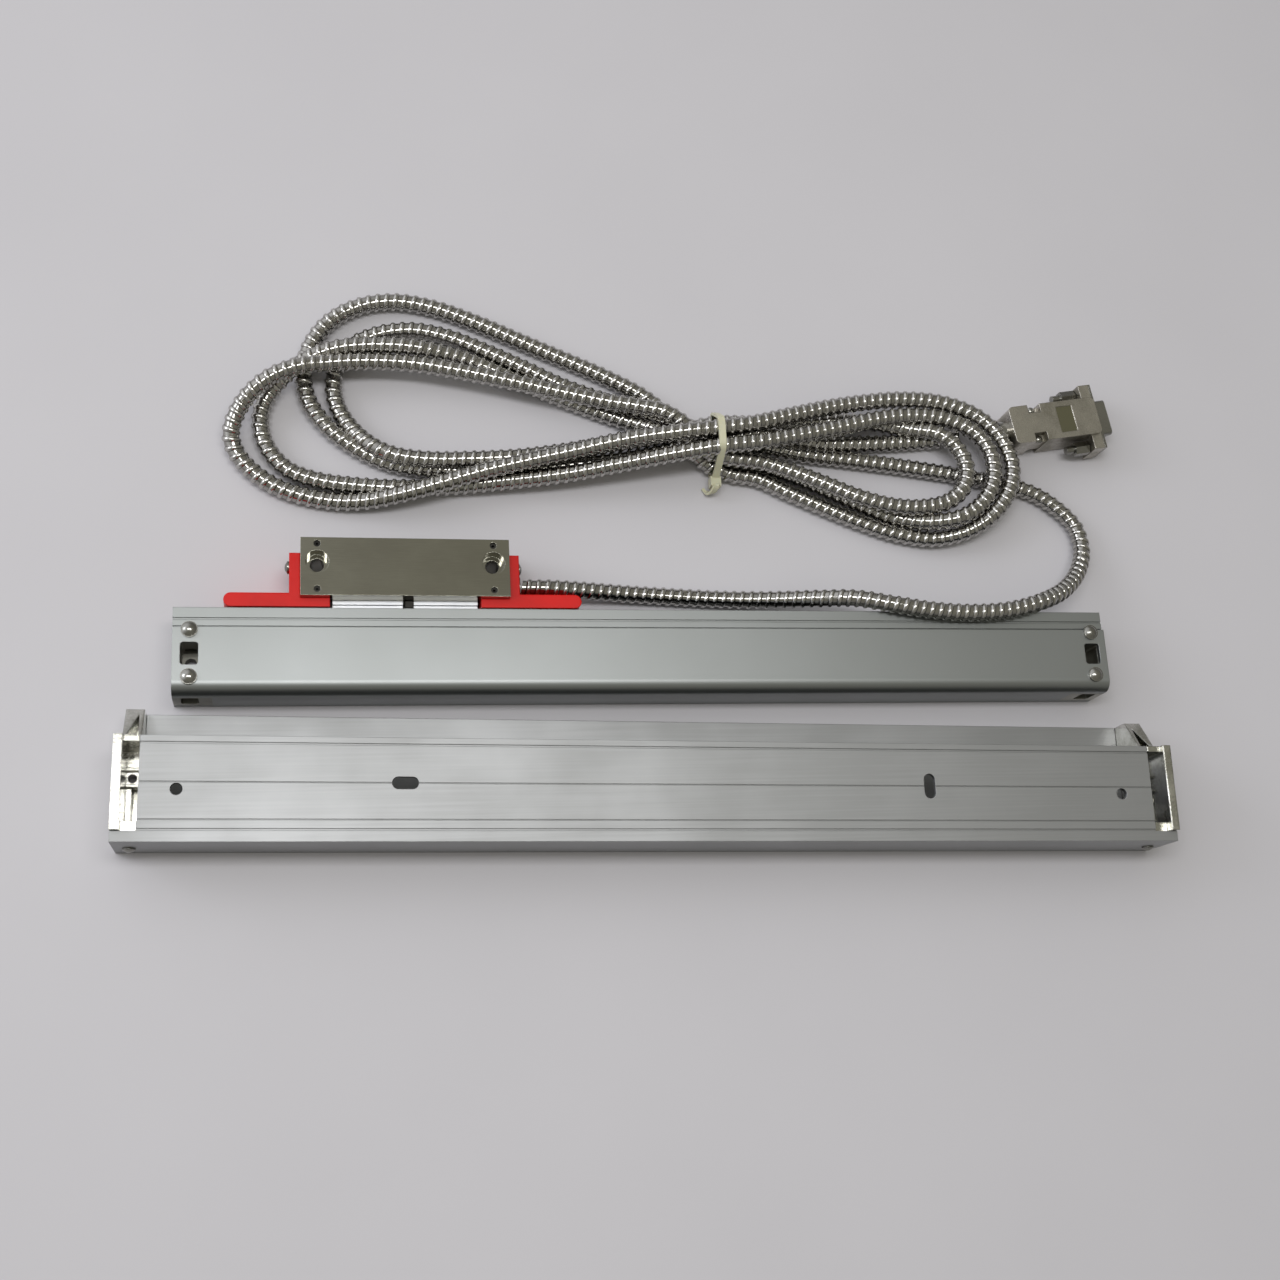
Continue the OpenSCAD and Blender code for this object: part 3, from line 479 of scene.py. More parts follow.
@dataclass(frozen=True)
class Armour:
    """Interlocked steel strip, wound into a hose: flat mirror strips between narrow, round ribs, with painted
    shade at each rib's foot and a painted highlight on each rib's top.

    Attributes:
        name: what the finish is called in the workshop.
        crown_highlight: colour of a rib's top, painted lighter than the strip as a painted highlight.
        gap: colour at a rib's foot, painted dark as the shade that falls in the narrow groove there.
        flat: colour of the flat strip between two ribs.
        roughness: usual roughness, and how far it wanders either way.
        scratch: size of the drawing marks on the strip, in millimetres.
        depth: how deep those marks are, in millimetres.
    """

    name: str = "interlocked steel strip"
    crown_highlight: str = "#BCBAB6"
    gap: str = "#37352F"
    flat: str = "#A2A09B"
    roughness: tuple[float, float] = (0.11, 0.03)
    scratch: float = 0.7
    depth: float = 0.003

    def material(self) -> bpy.types.Material:
        """Makes the material.

        Returns:
            The material, built from nodes.
        """
        made = bpy.data.materials.new(self.name)
        made.use_nodes = True
        tree = made.node_tree
        tree.nodes.clear()
        where = add(tree, "ShaderNodeTexCoord").outputs["Object"]
        # This attribute carries painted light: painted shade dark at each rib's foot, a painted highlight
        # light on each rib's top
        height = add(tree, "ShaderNodeAttribute", attribute_name="painted_rib_shading").outputs["Fac"]
        marks = add(
            tree,
            "ShaderNodeTexNoise",
            {"Vector": where, "Scale": 1 / (self.scratch * MM), "Detail": 4.0},
        ).outputs["Fac"]
        low = add(
            tree,
            "ShaderNodeMapRange",
            {"Value": height, "From Min": 0.0, "From Max": 0.45},
        ).outputs[0]
        high = add(
            tree,
            "ShaderNodeMapRange",
            {"Value": height, "From Min": 0.5, "From Max": 0.95},
        ).outputs[0]
        # Painted shade at the rib's foot, the strip's own colour on the flat, then a painted highlight on the
        # rib's top
        strip = add(
            tree,
            "ShaderNodeMix",
            {0: low, 6: linear(self.gap), 7: linear(self.flat)},
            data_type="RGBA",
        ).outputs[2]
        tint = add(
            tree,
            "ShaderNodeMix",
            {0: high, 6: strip, 7: linear(self.crown_highlight)},
            data_type="RGBA",
        ).outputs[2]
        usual, spread = self.roughness
        rough = add(
            tree,
            "ShaderNodeMapRange",
            {
                "Value": marks,
                "From Min": 0.3,
                "From Max": 0.7,
                "To Min": usual - spread,
                "To Max": usual + spread,
            },
        ).outputs[0]
        bump = add(
            tree,
            "ShaderNodeBump",
            {"Height": marks, "Strength": 1.0, "Distance": self.depth * MM},
        )
        surface = add(
            tree,
            "ShaderNodeBsdfPrincipled",
            {
                "Base Color": tint,
                "Metallic": 1.0,
                "Roughness": rough,
                "Normal": bump.outputs[0],
            },
        )
        add(tree, "ShaderNodeOutputMaterial", {0: surface.outputs[0]})
        return made


@dataclass(frozen=True)
class PaintedFloor:
    """A smooth sheet of pale grey laminate under the parts.

    Attributes:
        name: what the finish is called in the workshop.
        colour: the laminate's colour.
        shade: its colour in the faint cloudy marks.
        cloud: size of those marks, in millimetres.
    """

    name: str = "pale laminate"
    colour: str = "#CBC9CD"
    shade: str = "#C4C2C6"
    cloud: float = 120.0

    def material(self) -> bpy.types.Material:
        """Makes the material.

        Returns:
            The material, built from nodes.
        """
        made = bpy.data.materials.new(self.name)
        made.use_nodes = True
        tree = made.node_tree
        tree.nodes.clear()
        where = add(tree, "ShaderNodeTexCoord").outputs["Object"]
        cloud = add(
            tree,
            "ShaderNodeTexNoise",
            {"Vector": where, "Scale": 1 / (self.cloud * MM), "Detail": 4.0},
        ).outputs["Fac"]
        tint = add(
            tree,
            "ShaderNodeMix",
            {0: cloud, 6: linear(self.colour), 7: linear(self.shade)},
            data_type="RGBA",
        ).outputs[2]
        surface = add(
            tree,
            "ShaderNodeBsdfPrincipled",
            {"Base Color": tint, "Roughness": 0.55, "Specular IOR Level": 0.3},
        )
        add(tree, "ShaderNodeOutputMaterial", {0: surface.outputs[0]})
        return made


class Surface(Enum):
    """Every finish on the object, by what it is and how it was made."""

    # Extruded aluminium, bead blasted and clear anodised: an even satin grey that keeps a soft highlight
    ANODISED = Metal(
        "anodised aluminium extrusion",
        "#979A9A",
        "#919493",
        (0.43, 0.015),
        (0.35, 0.25, 0.25),
        0.0015,
        0.4,
        90.0,
    )
    # Extruded aluminium left as drawn: brighter than the housing, with die lines along X
    MILL = Metal(
        "mill finish aluminium extrusion",
        "#A0A1A2",
        "#989999",
        (0.5, 0.025),
        (60, 0.9, 0.9),
        0.0009,
        0.35,
        55.0,
    )
    # Zinc pressure die casting, tumbled: dull, cloudy and fine grained
    DIE_CAST = Metal("tumbled zinc die casting", "#A3A29A", "#7E7D75", (0.46, 0.07), (0.5, 0.5, 0.5), 0.02)
    # Milled block, nickel plated: a mirror with faint milling lines
    BRIGHT_NICKEL = Metal(
        "bright nickel plate", "#ABAA9F", "#97958A", (0.1, 0.03), (8, 0.35, 0.35), 0.001, 0.3, 25.0
    )
    # Cold-headed screws, zinc plated: small and bright
    ZINC_SCREW = Metal("zinc plated steel", "#A09F9A", "#74736D", (0.24, 0.07), (0.5, 0.5, 0.5), 0.006, 0.2)
    # Zinc casting under bright plate: the casting's skin shows as a grainy mirror
    PLATED_CAST = Metal(
        "bright plated casting", "#DAD9D3", "#A5A49A", (0.2, 0.08), (1.1, 1.1, 1.1), 0.02, 0.9, 12.0
    )
    # Plug hood, cast and satin nickel plated: grey with an olive cast, grainy like fine sand
    GRAINY_NICKEL = Metal(
        "grainy satin nickel", "#C3BFB7", "#8F8B80", (0.34, 0.1), (0.7, 0.7, 0.7), 0.09, 0.5, 10.0
    )
    # Grub screws, blackened in hot oil: near black, with a dull shine on the socket
    BLACKENED = Metal("blackened steel", "#3B3A37", "#2A2927", (0.38, 0.08), (0.4, 0.4, 0.4), 0.004, 0.1)
    # Ground and zinc plated rail: an even, pale, slightly blue grey
    GROUND_ZINC = Metal(
        "ground zinc plated steel", "#E3E5E9", "#C9CBD0", (0.36, 0.06), (6, 0.3, 0.3), 0.002, 0.2, 14.0
    )
    # Gold flash over brass on the plug's contacts
    GOLD = Metal("gold flashed brass", "#E2C36B", "#C7A655", (0.2, 0.05), (0.3, 0.3, 0.3), 0.002, 0.1)
    # Polished mould, unfilled plastic: a saturated red that runs to orange where the lamp glances off it
    RED_MOULDING = Moulded(
        "glossy red moulding", "#D00B04", "#C00903", (0.34, 0.04), 1.2, 0.004, 0.0, 0.0, 0.7, 0.3
    )
    # Extruded sealing lips: near black, faintly sheened along their length
    RUBBER = Moulded("extruded black rubber", "#1D1D1C", "#272726", (0.55, 0.08), 0.6, 0.01)
    # Elastic bond under the glass: milky and soft
    SILICONE = Moulded("milky silicone", "#CFCFC8", "#BDBDB6", (0.4, 0.05), 2.0, 0.01, 0.0, 0.2)
    # Solder mask over woven glass laminate
    BOARD = Moulded("green circuit board", "#0F5A31", "#0C4828", (0.38, 0.06), 0.5, 0.008, 0.3)
    # Glass filled moulding: black with a fine matt grain
    BLACK_MOULDING = Moulded("black glass-filled moulding", "#1A1A1B", "#242425", (0.48, 0.06), 0.4, 0.015)
    # Natural nylon: waxy cream, and light goes a little way in
    NYLON = Moulded("natural nylon", "#CDCBB0", "#BDBBA0", (0.38, 0.06), 0.8, 0.01, 0.15, 0.25, 0.2)
    # Pressed field on the hood, chemically darkened: dull, even and blank
    DARK_FIELD = Metal("darkened blank field", "#77755F", "#6C6A56", (0.5, 0.04), (0.5, 0.5, 0.5), 0.01, 0.1)
    # Float glass with a chromium grating etched along it: clear, with fine grey bars
    GLASS = ScaleGlass()
    # Bright steel strip, rolled and wound: its flats mirror a lamp as a line, which its ribs cross; its
    # colour holds painted shade at the ribs' feet and a painted highlight on their tops
    ARMOUR = Armour()
    # Pressed laminate sheet: pale, even and nearly matt
    LAMINATE = PaintedFloor()


SLOTS: dict[str, Surface] = {
    "housing_aluminium": Surface.ANODISED,
    "die_cast": Surface.DIE_CAST,
    "head_plate": Surface.BRIGHT_NICKEL,
    "steel": Surface.ZINC_SCREW,
    "red_plastic": Surface.RED_MOULDING,
    "black_rubber": Surface.RUBBER,
    "scale_glass": Surface.GLASS,
    "bond": Surface.SILICONE,
    "board_green": Surface.BOARD,
    "black_plastic": Surface.BLACK_MOULDING,
    "cable_armour": Surface.ARMOUR,
    "cable_bundle": Surface.ARMOUR,
    "tie_nylon": Surface.NYLON,
    "plug_nickel": Surface.GRAINY_NICKEL,
    "gold": Surface.GOLD,
    "cover_aluminium": Surface.MILL,
    "cast_plate": Surface.PLATED_CAST,
}


class Wardrobe:
    """Makes each finish once and hands it out."""

    def __init__(self) -> None:
        """Starts with no finish made."""
        self._made: dict[Surface, bpy.types.Material] = {}

    def of(self, surface: Surface) -> bpy.types.Material:
        """Hands out a finish.

        Args:
            surface: which finish it is.

        Returns:
            Its material, the same one each time.
        """
        if surface not in self._made:
            self._made[surface] = surface.value.material()
        return self._made[surface]

    def dress(self, *nodes: str) -> None:
        """Dresses CAD pieces in the finishes that their slots name.

        Args:
            nodes: the names of the pieces.
        """
        for name in nodes:
            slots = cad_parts[name].material_slots
            for slot in slots:
                kind = slot.material.name.split(".")[0]
                slot.material = self.of(SLOTS[kind])
            log.info("dressed %s, %d slot(s)", name, len(slots))

    def dress_as(self, surface: Surface, *nodes: str) -> None:
        """Dresses CAD pieces in one finish, whatever their slots name.

        Args:
            surface: which finish it is.
            nodes: the names of the pieces.
        """
        for name in nodes:
            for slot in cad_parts[name].material_slots:
                slot.material = self.of(surface)
            log.info("dressed %s as %s", name, surface.value.name)


# ---------------------------------------------------------------------------
# The cable's route, in millimetres, one list for each stretch
# ---------------------------------------------------------------------------

# From the gland, over the housing's right end and back to the hank
LEAD: list[tuple[float, float, float]] = [
    (-58, 31, 10), (-46, 31, 10), (-30, 31, 7.4), (-12, 30.5, 4.8), (10, 29.5, 4), (32, 28.5, 4.4),
    (52, 27.5, 8), (69, 26.2, 14.5), (84, 24.4, 21), (99, 21, 24.4), (116, 18.4, 24.6),
    (134, 17.4, 24.6), (152, 18.8, 24.6), (167, 23, 23), (181, 30, 17), (192, 40, 10.5), (198, 52, 6),
    (197, 64, 4.2), (188, 74, 4), (177, 80.5, 4), (163, 84, 4),
]
# Up to the tie, under the three right-hand loops
TO_TIE: list[tuple[float, float, float]] = [
    (144, 87.5, 4.1), (118, 91, 4.1), (93, 93.7, 4.1), (70, 96, 4.1), (50, 99.5, 4.3),
]
# Second loop on the left
LEFT_SECOND: list[tuple[float, float, float]] = [
    (30, 102.5, 5.5), (15, 107, 6), (0, 112, 5), (-16, 118, 4.1), (-36, 125, 4.1), (-52, 132.5, 4.1),
    (-68, 139.5, 4.1), (-84, 145.5, 4.1), (-99, 148, 4.1), (-114, 145.5, 4.1), (-125.5, 139, 4.1),
    (-131.5, 129, 4.1), (-132.5, 118, 4.1), (-130, 109.5, 4.1), (-125, 101.5, 5), (-118, 94, 7.5),
    (-109, 89, 9.3), (-95, 87, 9.6), (-77, 87.5, 9.4), (-53.5, 89.6, 9), (-22, 95.5, 8), (4, 100, 9.4),
]
# Inner loop on the right
RIGHT_INNER: list[tuple[float, float, float]] = [
    (30, 105.4, 12.4), (50, 108, 8), (74, 111, 4.1), (94, 112.2, 4.3), (110, 110.5, 5.5), (122, 107, 9),
    (132, 104.5, 11.75), (140, 99, 11.75), (144.5, 90, 11.75), (143, 80.5, 11.75), (135.5, 73, 11.75),
    (123, 69.5, 11.75), (108, 69.8, 11.75), (92, 73.8, 11.75), (78, 79.5, 11.2), (65, 84.5, 10.8),
    (50, 89, 10.8),
]
# Fourth loop on the left
LEFT_FOURTH: list[tuple[float, float, float]] = [
    (30, 91.2, 12), (16, 99, 10.5), (2, 105, 7.5), (-14, 111, 4.1), (-34, 118, 4.1), (-52, 125, 4.1),
    (-67, 131, 5), (-82, 135, 8), (-100, 136.7, 11.75), (-119, 136.7, 11.75), (-134, 134, 11.75),
    (-146, 128.5, 10.2), (-155.5, 120.5, 6.5), (-161.5, 111, 4.1), (-162.3, 101, 4.1),
    (-158.7, 91, 4.1), (-151, 83, 4.1), (-139, 78.7, 4.1), (-124.5, 76.8, 4.1), (-107, 76.1, 4.1),
    (-86, 77, 4.4), (-63, 78.9, 7), (-36, 81.8, 10), (-14, 85.3, 13.5), (8, 89, 17.2),
]
# Middle loop on the right
RIGHT_MIDDLE: list[tuple[float, float, float]] = [
    (30, 92.8, 18.8), (48, 95.6, 18.2), (66, 99.7, 16.5), (86, 105, 14), (104, 110, 12.5),
    (122, 112.7, 11.75), (138, 111.2, 11.75), (150.5, 105, 11.75), (157, 94.5, 11.75),
    (156.5, 82, 11.75), (149.5, 71.3, 11.75), (139, 65, 11.75), (126, 63.6, 9), (113, 66, 5.5),
    (99, 71.5, 4.1), (83, 78.3, 4.1), (66, 85.5, 4.1), (48, 91.8, 4.1),
]
# Outer loop on the left, on top of the others
LEFT_OUTER: list[tuple[float, float, float]] = [
    (30, 95, 5.2), (19, 104, 10.5), (8, 110, 13.2), (-4, 112.6, 12.6), (-18, 114.8, 11.75),
    (-38, 118.5, 11.75), (-58, 122.5, 11.75), (-80, 126.5, 11.75), (-100, 129.2, 11.75),
    (-118, 129.4, 12), (-134, 127.6, 13), (-149, 124.3, 14.8), (-161, 118, 14), (-170, 109, 10),
    (-174, 99, 7), (-173, 92, 5), (-168, 84.5, 4.1), (-158, 76.6, 4.1), (-146.2, 72, 4.1),
    (-131.7, 69.6, 4.1), (-118.5, 69.6, 6), (-105.5, 71.5, 9.5), (-90, 75.5, 11.75), (-72, 81, 12.6),
    (-53, 86, 13), (-34, 90.2, 14.6), (-10, 95.5, 17), (12, 98.8, 18.6),
]
# Outer loop on the right
RIGHT_OUTER: list[tuple[float, float, float]] = [
    (30, 101.2, 18.9), (46, 104, 18.4), (66, 110, 15.5), (92, 117, 12), (118, 120.3, 11.75),
    (137, 119, 11.75), (152, 113.5, 11.75), (162.5, 103, 11.75), (166.5, 90, 11.75),
    (163.5, 77.5, 11.75), (155, 66.8, 10), (143, 60, 7), (128, 57.3, 4.5), (112, 59.3, 4.1),
    (96, 64.3, 4.1), (79, 71, 4.1), (63, 77.8, 4.1), (49, 84, 4.1),
]
# Far loop on the left, under the others
LEFT_FAR: list[tuple[float, float, float]] = [
    (38, 85.6, 4.2), (30, 88.2, 4.6), (22, 94.5, 4.8), (16, 103.5, 4.4), (10, 112.5, 4.1),
    (1, 120.5, 4.1), (-16, 129.5, 4.1), (-36, 138, 4.1), (-54, 145.5, 4.1), (-72, 153, 4.1),
    (-90, 159, 4.1), (-106, 161.2, 4.1), (-121, 158.5, 4.1), (-133.5, 151, 4.1), (-142, 139, 4.1),
    (-145, 125, 4.1), (-142.5, 113, 4.1), (-134.5, 101.9, 4.1), (-124, 93.8, 4.1), (-111, 87.5, 4.1),
    (-95, 84.8, 4.1), (-72, 84.4, 4.1), (-50, 86, 4.1), (-28, 88.7, 4.1), (0, 92.5, 6),
]
# From the tie to the plug's collar
TO_PLUG: list[tuple[float, float, float]] = [
    (30, 98, 12), (50, 102.5, 10.5), (66, 102.5, 5.5), (80, 101.3, 4.1), (96, 101.5, 4.1),
    (114, 102.4, 4.1), (134, 104.3, 4.1), (148, 106, 5),
]
ROUTE: list[tuple[float, float, float]] = [
    *LEAD,
    *TO_TIE,
    *LEFT_SECOND,
    *RIGHT_INNER,
    *LEFT_FOURTH,
    *RIGHT_MIDDLE,
    *LEFT_OUTER,
    *RIGHT_OUTER,
    *LEFT_FAR,
    *TO_PLUG,
]


# ---------------------------------------------------------------------------
# The studio
# ---------------------------------------------------------------------------


@dataclass
class Studio:
    """Camera, floor, lamps and room.

    Attributes:
        eye: where the camera stands, in metres.
        right: the camera's right, as a direction in the object's axes.
        up: the camera's up.
        back: from the object towards the camera.
        lens: focal length over a 36 mm sensor, in millimetres.
        floor_half: half the floor's width, in metres.
    """

    eye: tuple[float, float, float] = (-0.1544, -0.1751, 0.6696)
    right: tuple[float, float, float] = (0.9779, -0.0539, 0.2018)
    up: tuple[float, float, float] = (-0.0023, 0.9633, 0.2683)
    back: tuple[float, float, float] = (-0.2089, -0.2629, 0.9420)
    lens: float = 47.45
    floor_half: float = 3.0

    def camera(self) -> None:
        """Stands the camera where it looks down on the parts from the near left."""
        data = bpy.data.cameras.new("camera")
        data.sensor_width, data.lens = 36.0, self.lens
        data.clip_start, data.clip_end = 0.01, 20.0
        made = bpy.data.objects.new("camera", data)
        bpy.context.scene.collection.objects.link(made)
        turn = Matrix((self.right, self.up, self.back)).transposed().to_4x4()
        made.matrix_world = Matrix.Translation(self.eye) @ turn
        bpy.context.scene.camera = made
        log.info("camera at %s", self.eye)

    def floor(self, wardrobe: Wardrobe) -> None:
        """Lays the floor.

        Args:
            wardrobe: where the finishes come from.
        """
        half = self.floor_half
        corners = np.array([(-half, -half, 0), (half, -half, 0), (half, half, 0), (-half, half, 0)])
        made = mesh_piece("floor", corners, [(0, 1, 2, 3)], wardrobe.of(Surface.LAMINATE), False)

    def lamp(
        self,
        name: str,
        place: tuple[float, float, float],
        aim: tuple[float, float, float],
        size: tuple[float, float],
        watts: float,
        colour: str = "#FFFFFF",
    ) -> None:
        """Hangs one soft lamp.

        Args:
            name: the lamp's name.
            place: its middle, in metres.
            aim: the point it faces.
            size: its width and height.
            watts: its power.
            colour: its colour.
        """
        data = bpy.data.lights.new(name, "AREA")
        data.shape, data.size, data.size_y = "RECTANGLE", size[0], size[1]
        data.energy, data.color = watts, linear(colour)[:3]
        made = bpy.data.objects.new(name, data)
        made.location = place
        facing = Vector(aim) - Vector(place)
        made.rotation_euler = facing.to_track_quat("-Z", "Y").to_euler()
        bpy.context.scene.collection.objects.link(made)

    def lamps(self) -> None:
        """Hangs the long ceiling lamp over the left half and a weaker lamp at the far left."""
        self.lamp("ceiling_lamp", (-0.17, 0.07, 1.3), (-0.17, 0.07, 0.0), (1.0, 0.22), 6.8)
        self.lamp("side_lamp", (-1.5, 0.45, 0.8), (-0.1, 0.05, 0.0), (0.7, 0.6), 6.0, "#F4F7FF")

    def room(self) -> None:
        """Fills the rest of the room: olive-grey ceiling, dim walls, and pale windows far left."""
        world = bpy.data.worlds.new("room")
        world.use_nodes = True
        bpy.context.scene.world = world
        tree = world.node_tree
        tree.nodes.clear()
        where = add(tree, "ShaderNodeTexCoord").outputs["Generated"]
        height = add(tree, "ShaderNodeSeparateXYZ", {0: where}).outputs[2]
        climb = add(
            tree,
            "ShaderNodeMapRange",
            {"Value": height, "From Min": 0.1, "From Max": 0.7},
        ).outputs[0]
        walls = add(
            tree,
            "ShaderNodeMix",
            {0: climb, 6: linear("#7C7B79"), 7: linear("#918F85")},
            data_type="RGBA",
        ).outputs[2]
        toward = add(
            tree,
            "ShaderNodeVectorMath",
            {0: where, 1: (-0.8, 0.5, 0.33)},
            operation="DOT_PRODUCT",
        ).outputs["Value"]
        window = add(
            tree,
            "ShaderNodeMapRange",
            {"Value": toward, "From Min": 0.35, "From Max": 0.95, "To Max": 1.0},
            interpolation_type="SMOOTHSTEP",
        ).outputs[0]
        tone = add(
            tree,
            "ShaderNodeMix",
            {0: window, 6: walls, 7: linear("#FAFBFF")},
            data_type="RGBA",
        ).outputs[2]
        light = add(tree, "ShaderNodeBackground", {"Color": tone, "Strength": 1.15})
        add(tree, "ShaderNodeOutputWorld", {0: light.outputs[0]})


# ---------------------------------------------------------------------------
# The armoured cable, its tie and its plug
# ---------------------------------------------------------------------------


@dataclass
class ArmouredCable:
    """One armoured cable, from the head's gland through the tied hank to the plug.

    Attributes:
        diameter: outside diameter, in metres.
        pitch: from one rib to the next, in metres.
        profile: one pitch of the strip: how far along it, how high, and how bright it is painted, each from 0
            to 1; the brightness is painted shade at a rib's foot and a painted highlight on its top.
        flat: the flat strip's radius, in millimetres.
        rise: how far a rib stands up from it, in millimetres.
        columns: points round the tube.
        look: how far ahead and behind the heading is taken, in metres.
        per_span: how many steps the curve has between two points of the route.
        step: how far apart the centreline's points are, in metres.
        route: the points it follows, in millimetres.
    """

    diameter: float = 0.0075
    pitch: float = 0.00387
    # The third column is painted light: low at a rib's foot for painted shade, high on its top for a painted
    # highlight
    profile: tuple[tuple[float, float, float], ...] = (
        (0.0, 0.0, 0.1),
        (0.04, 0.0, 0.45),
        (0.42, 0.0, 0.45),
        (0.46, 0.0, 0.1),
        (0.53, 0.6, 0.6),
        (0.62, 0.92, 1.0),
        (0.73, 1.0, 1.0),
        (0.84, 0.92, 1.0),
        (0.93, 0.6, 0.6),
    )
    flat: float = 3.28
    rise: float = 0.62
    columns: int = 16
    look: float = 0.002
    per_span: int = 16
    step: float = 0.001
    route: list[tuple[float, float, float]] = field(default_factory=list)

    def line(self) -> np.ndarray:
        """Gives the cable's centreline.

        Returns:
            Its points in metres, about one step apart.
        """
        return even_steps(smooth_path(self.route, self.per_span) * MM, self.step)

    def tube(self, material: bpy.types.Material) -> bpy.types.Object:
        """Winds the strip along the centreline.

        Args:
            material: what it is dressed in.

        Returns:
            The cable.
        """
        line = self.line()
        far = np.r_[0.0, np.cumsum(np.linalg.norm(np.diff(line, axis=0), axis=1))]
        phases, columns = len(self.profile), self.columns
        along, rib, bright = np.array(self.profile).T
        rows = int((far[-1] / self.pitch - 1) * phases)
        turn = np.arange(columns) / columns
        phase = np.arange(rows) % phases
        # Each row climbs one pitch in one turn, so that the ribs wind like a screw's thread
        at = self.pitch * ((np.arange(rows) // phases + along[phase])[:, None] + turn[None, :])
        centre = np.stack([np.interp(at, far, line[:, k]) for k in range(3)], 2)
        ahead = np.stack([np.interp(at + self.look, far, line[:, k]) for k in range(3)], 2)
        behind = np.stack([np.interp(at - self.look, far, line[:, k]) for k in range(3)], 2)
        heading = ahead - behind
        heading /= np.linalg.norm(heading, axis=2)[:, :, None]
        side = np.cross(heading, (0.0, 0.0, 1.0))
        side /= np.linalg.norm(side, axis=2)[:, :, None]
        top = np.cross(side, heading)
        radius = (self.flat + self.rise * rib)[phase][:, None, None] * MM
        angle = 2 * math.pi * turn[None, :, None]
        points = centre + radius * (np.cos(angle) * side + np.sin(angle) * top)
        faces = []
        for row in range(rows - 1):
            here, there = row * columns, (row + 1) * columns
            for c in range(columns - 1):
                faces.append((here + c, there + c, there + c + 1, here + c + 1))
            wrapped = here + phases * columns
            if wrapped + columns < rows * columns:
                last = columns - 1
                faces.append((here + last, there + last, wrapped + columns, wrapped))
        made = mesh_piece("armoured_cable", points.reshape(-1, 3), faces, material)
        # The attribute carries the painted shade and painted highlight of the profile's third column
        height = made.data.attributes.new("painted_rib_shading", "FLOAT", "POINT")
        height.data.foreach_set("value", np.repeat(bright[phase], columns).astype(np.float32))
        log.info("armoured_cable, %.3f m long, %d faces", far[-1], len(faces))
        return made

    def build(self, wardrobe: Wardrobe, pieces: list[bpy.types.Object]) -> None:
        """Makes the cable, hides the CAD's own cable pieces and hangs it on the head.

        Args:
            wardrobe: where the finishes come from.
            pieces: the pieces that are on it; not used.
        """
        made = self.tube(wardrobe.of(Surface.ARMOUR))
        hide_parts("cable_lead", "cable_hank", "cable_tail")
        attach(made, "head")


@dataclass
class CableTie:
    """The nylon tie round the hank's waist, with its spare end curled under.

    Attributes:
        width: the strap's width, in metres.
        thickness: the strap's thickness, in metres.
        across: the direction that the strap's width lies along at first.
        section: the strap's section, in half widths and half thicknesses.
        taper_rows: over how many rows its end narrows, and to what share.
        per_span: how many steps the curl has between two of its points.
        step: how far apart the rows are, in metres.
        curl: the spare end's centreline, in millimetres.
    """

    width: float = 0.003
    thickness: float = 0.0011
    across: tuple[float, float, float] = (1.0, 0.25, 0.0)
    section: tuple[tuple[float, float], ...] = (
        (-1, -0.6),
        (-0.85, -1),
        (0.85, -1),
        (1, -0.6),
        (1, 0.6),
        (0.85, 1),
        (-0.85, 1),
        (-1, 0.6),
    )
    taper_rows: tuple[int, float] = (8, 0.45)
    per_span: int = 12
    step: float = 0.0006
    curl: tuple[tuple[float, float, float], ...] = (
        (30.2, 80.4, 6.8),
        (29.8, 78.6, 7.4),
        (29.0, 77.2, 5.6),
        (28.0, 77.0, 3.0),
        (26.6, 78.2, 1.3),
        (25.4, 79.8, 1.0),
    )

    def build(self, wardrobe: Wardrobe) -> bpy.types.Object:
        """Makes the spare end; the loop round the hank is the CAD's own.

        Args:
            wardrobe: where the finishes come from.

        Returns:
            The spare end.
        """
        wardrobe.dress("cable_tie")
        line = even_steps(smooth_path(list(self.curl), self.per_span) * MM, self.step)
        heading = np.gradient(line, axis=0)
        heading /= np.linalg.norm(heading, axis=1)[:, None]
        across = np.array(self.across)
        across = across[None] - (heading @ across)[:, None] * heading
        across /= np.linalg.norm(across, axis=1)[:, None]
        out = np.cross(across, heading)
        rows, least = self.taper_rows
        taper = np.clip((len(line) - np.arange(len(line))) / rows, least, 1.0)[:, None]
        half, thick = self.width / 2 * taper, self.thickness / 2
        rings = [line + half * u * across + thick * v * out for u, v in self.section]
        points = np.stack(rings, 1).reshape(-1, 3)
        n, faces = len(self.section), []
        for row in range(len(line) - 1):
            for c in range(n):
                d = (c + 1) % n
                faces.append((row * n + c, row * n + d, (row + 1) * n + d, (row + 1) * n + c))
        faces.append(tuple(reversed(range(n))))
        faces.append(tuple((len(line) - 1) * n + c for c in range(n)))
        made = mesh_piece("tie_end", points, faces, wardrobe.of(Surface.NYLON), False)
        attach(made, "head")
        log.info("tie_end, %d faces", len(faces))
        return made


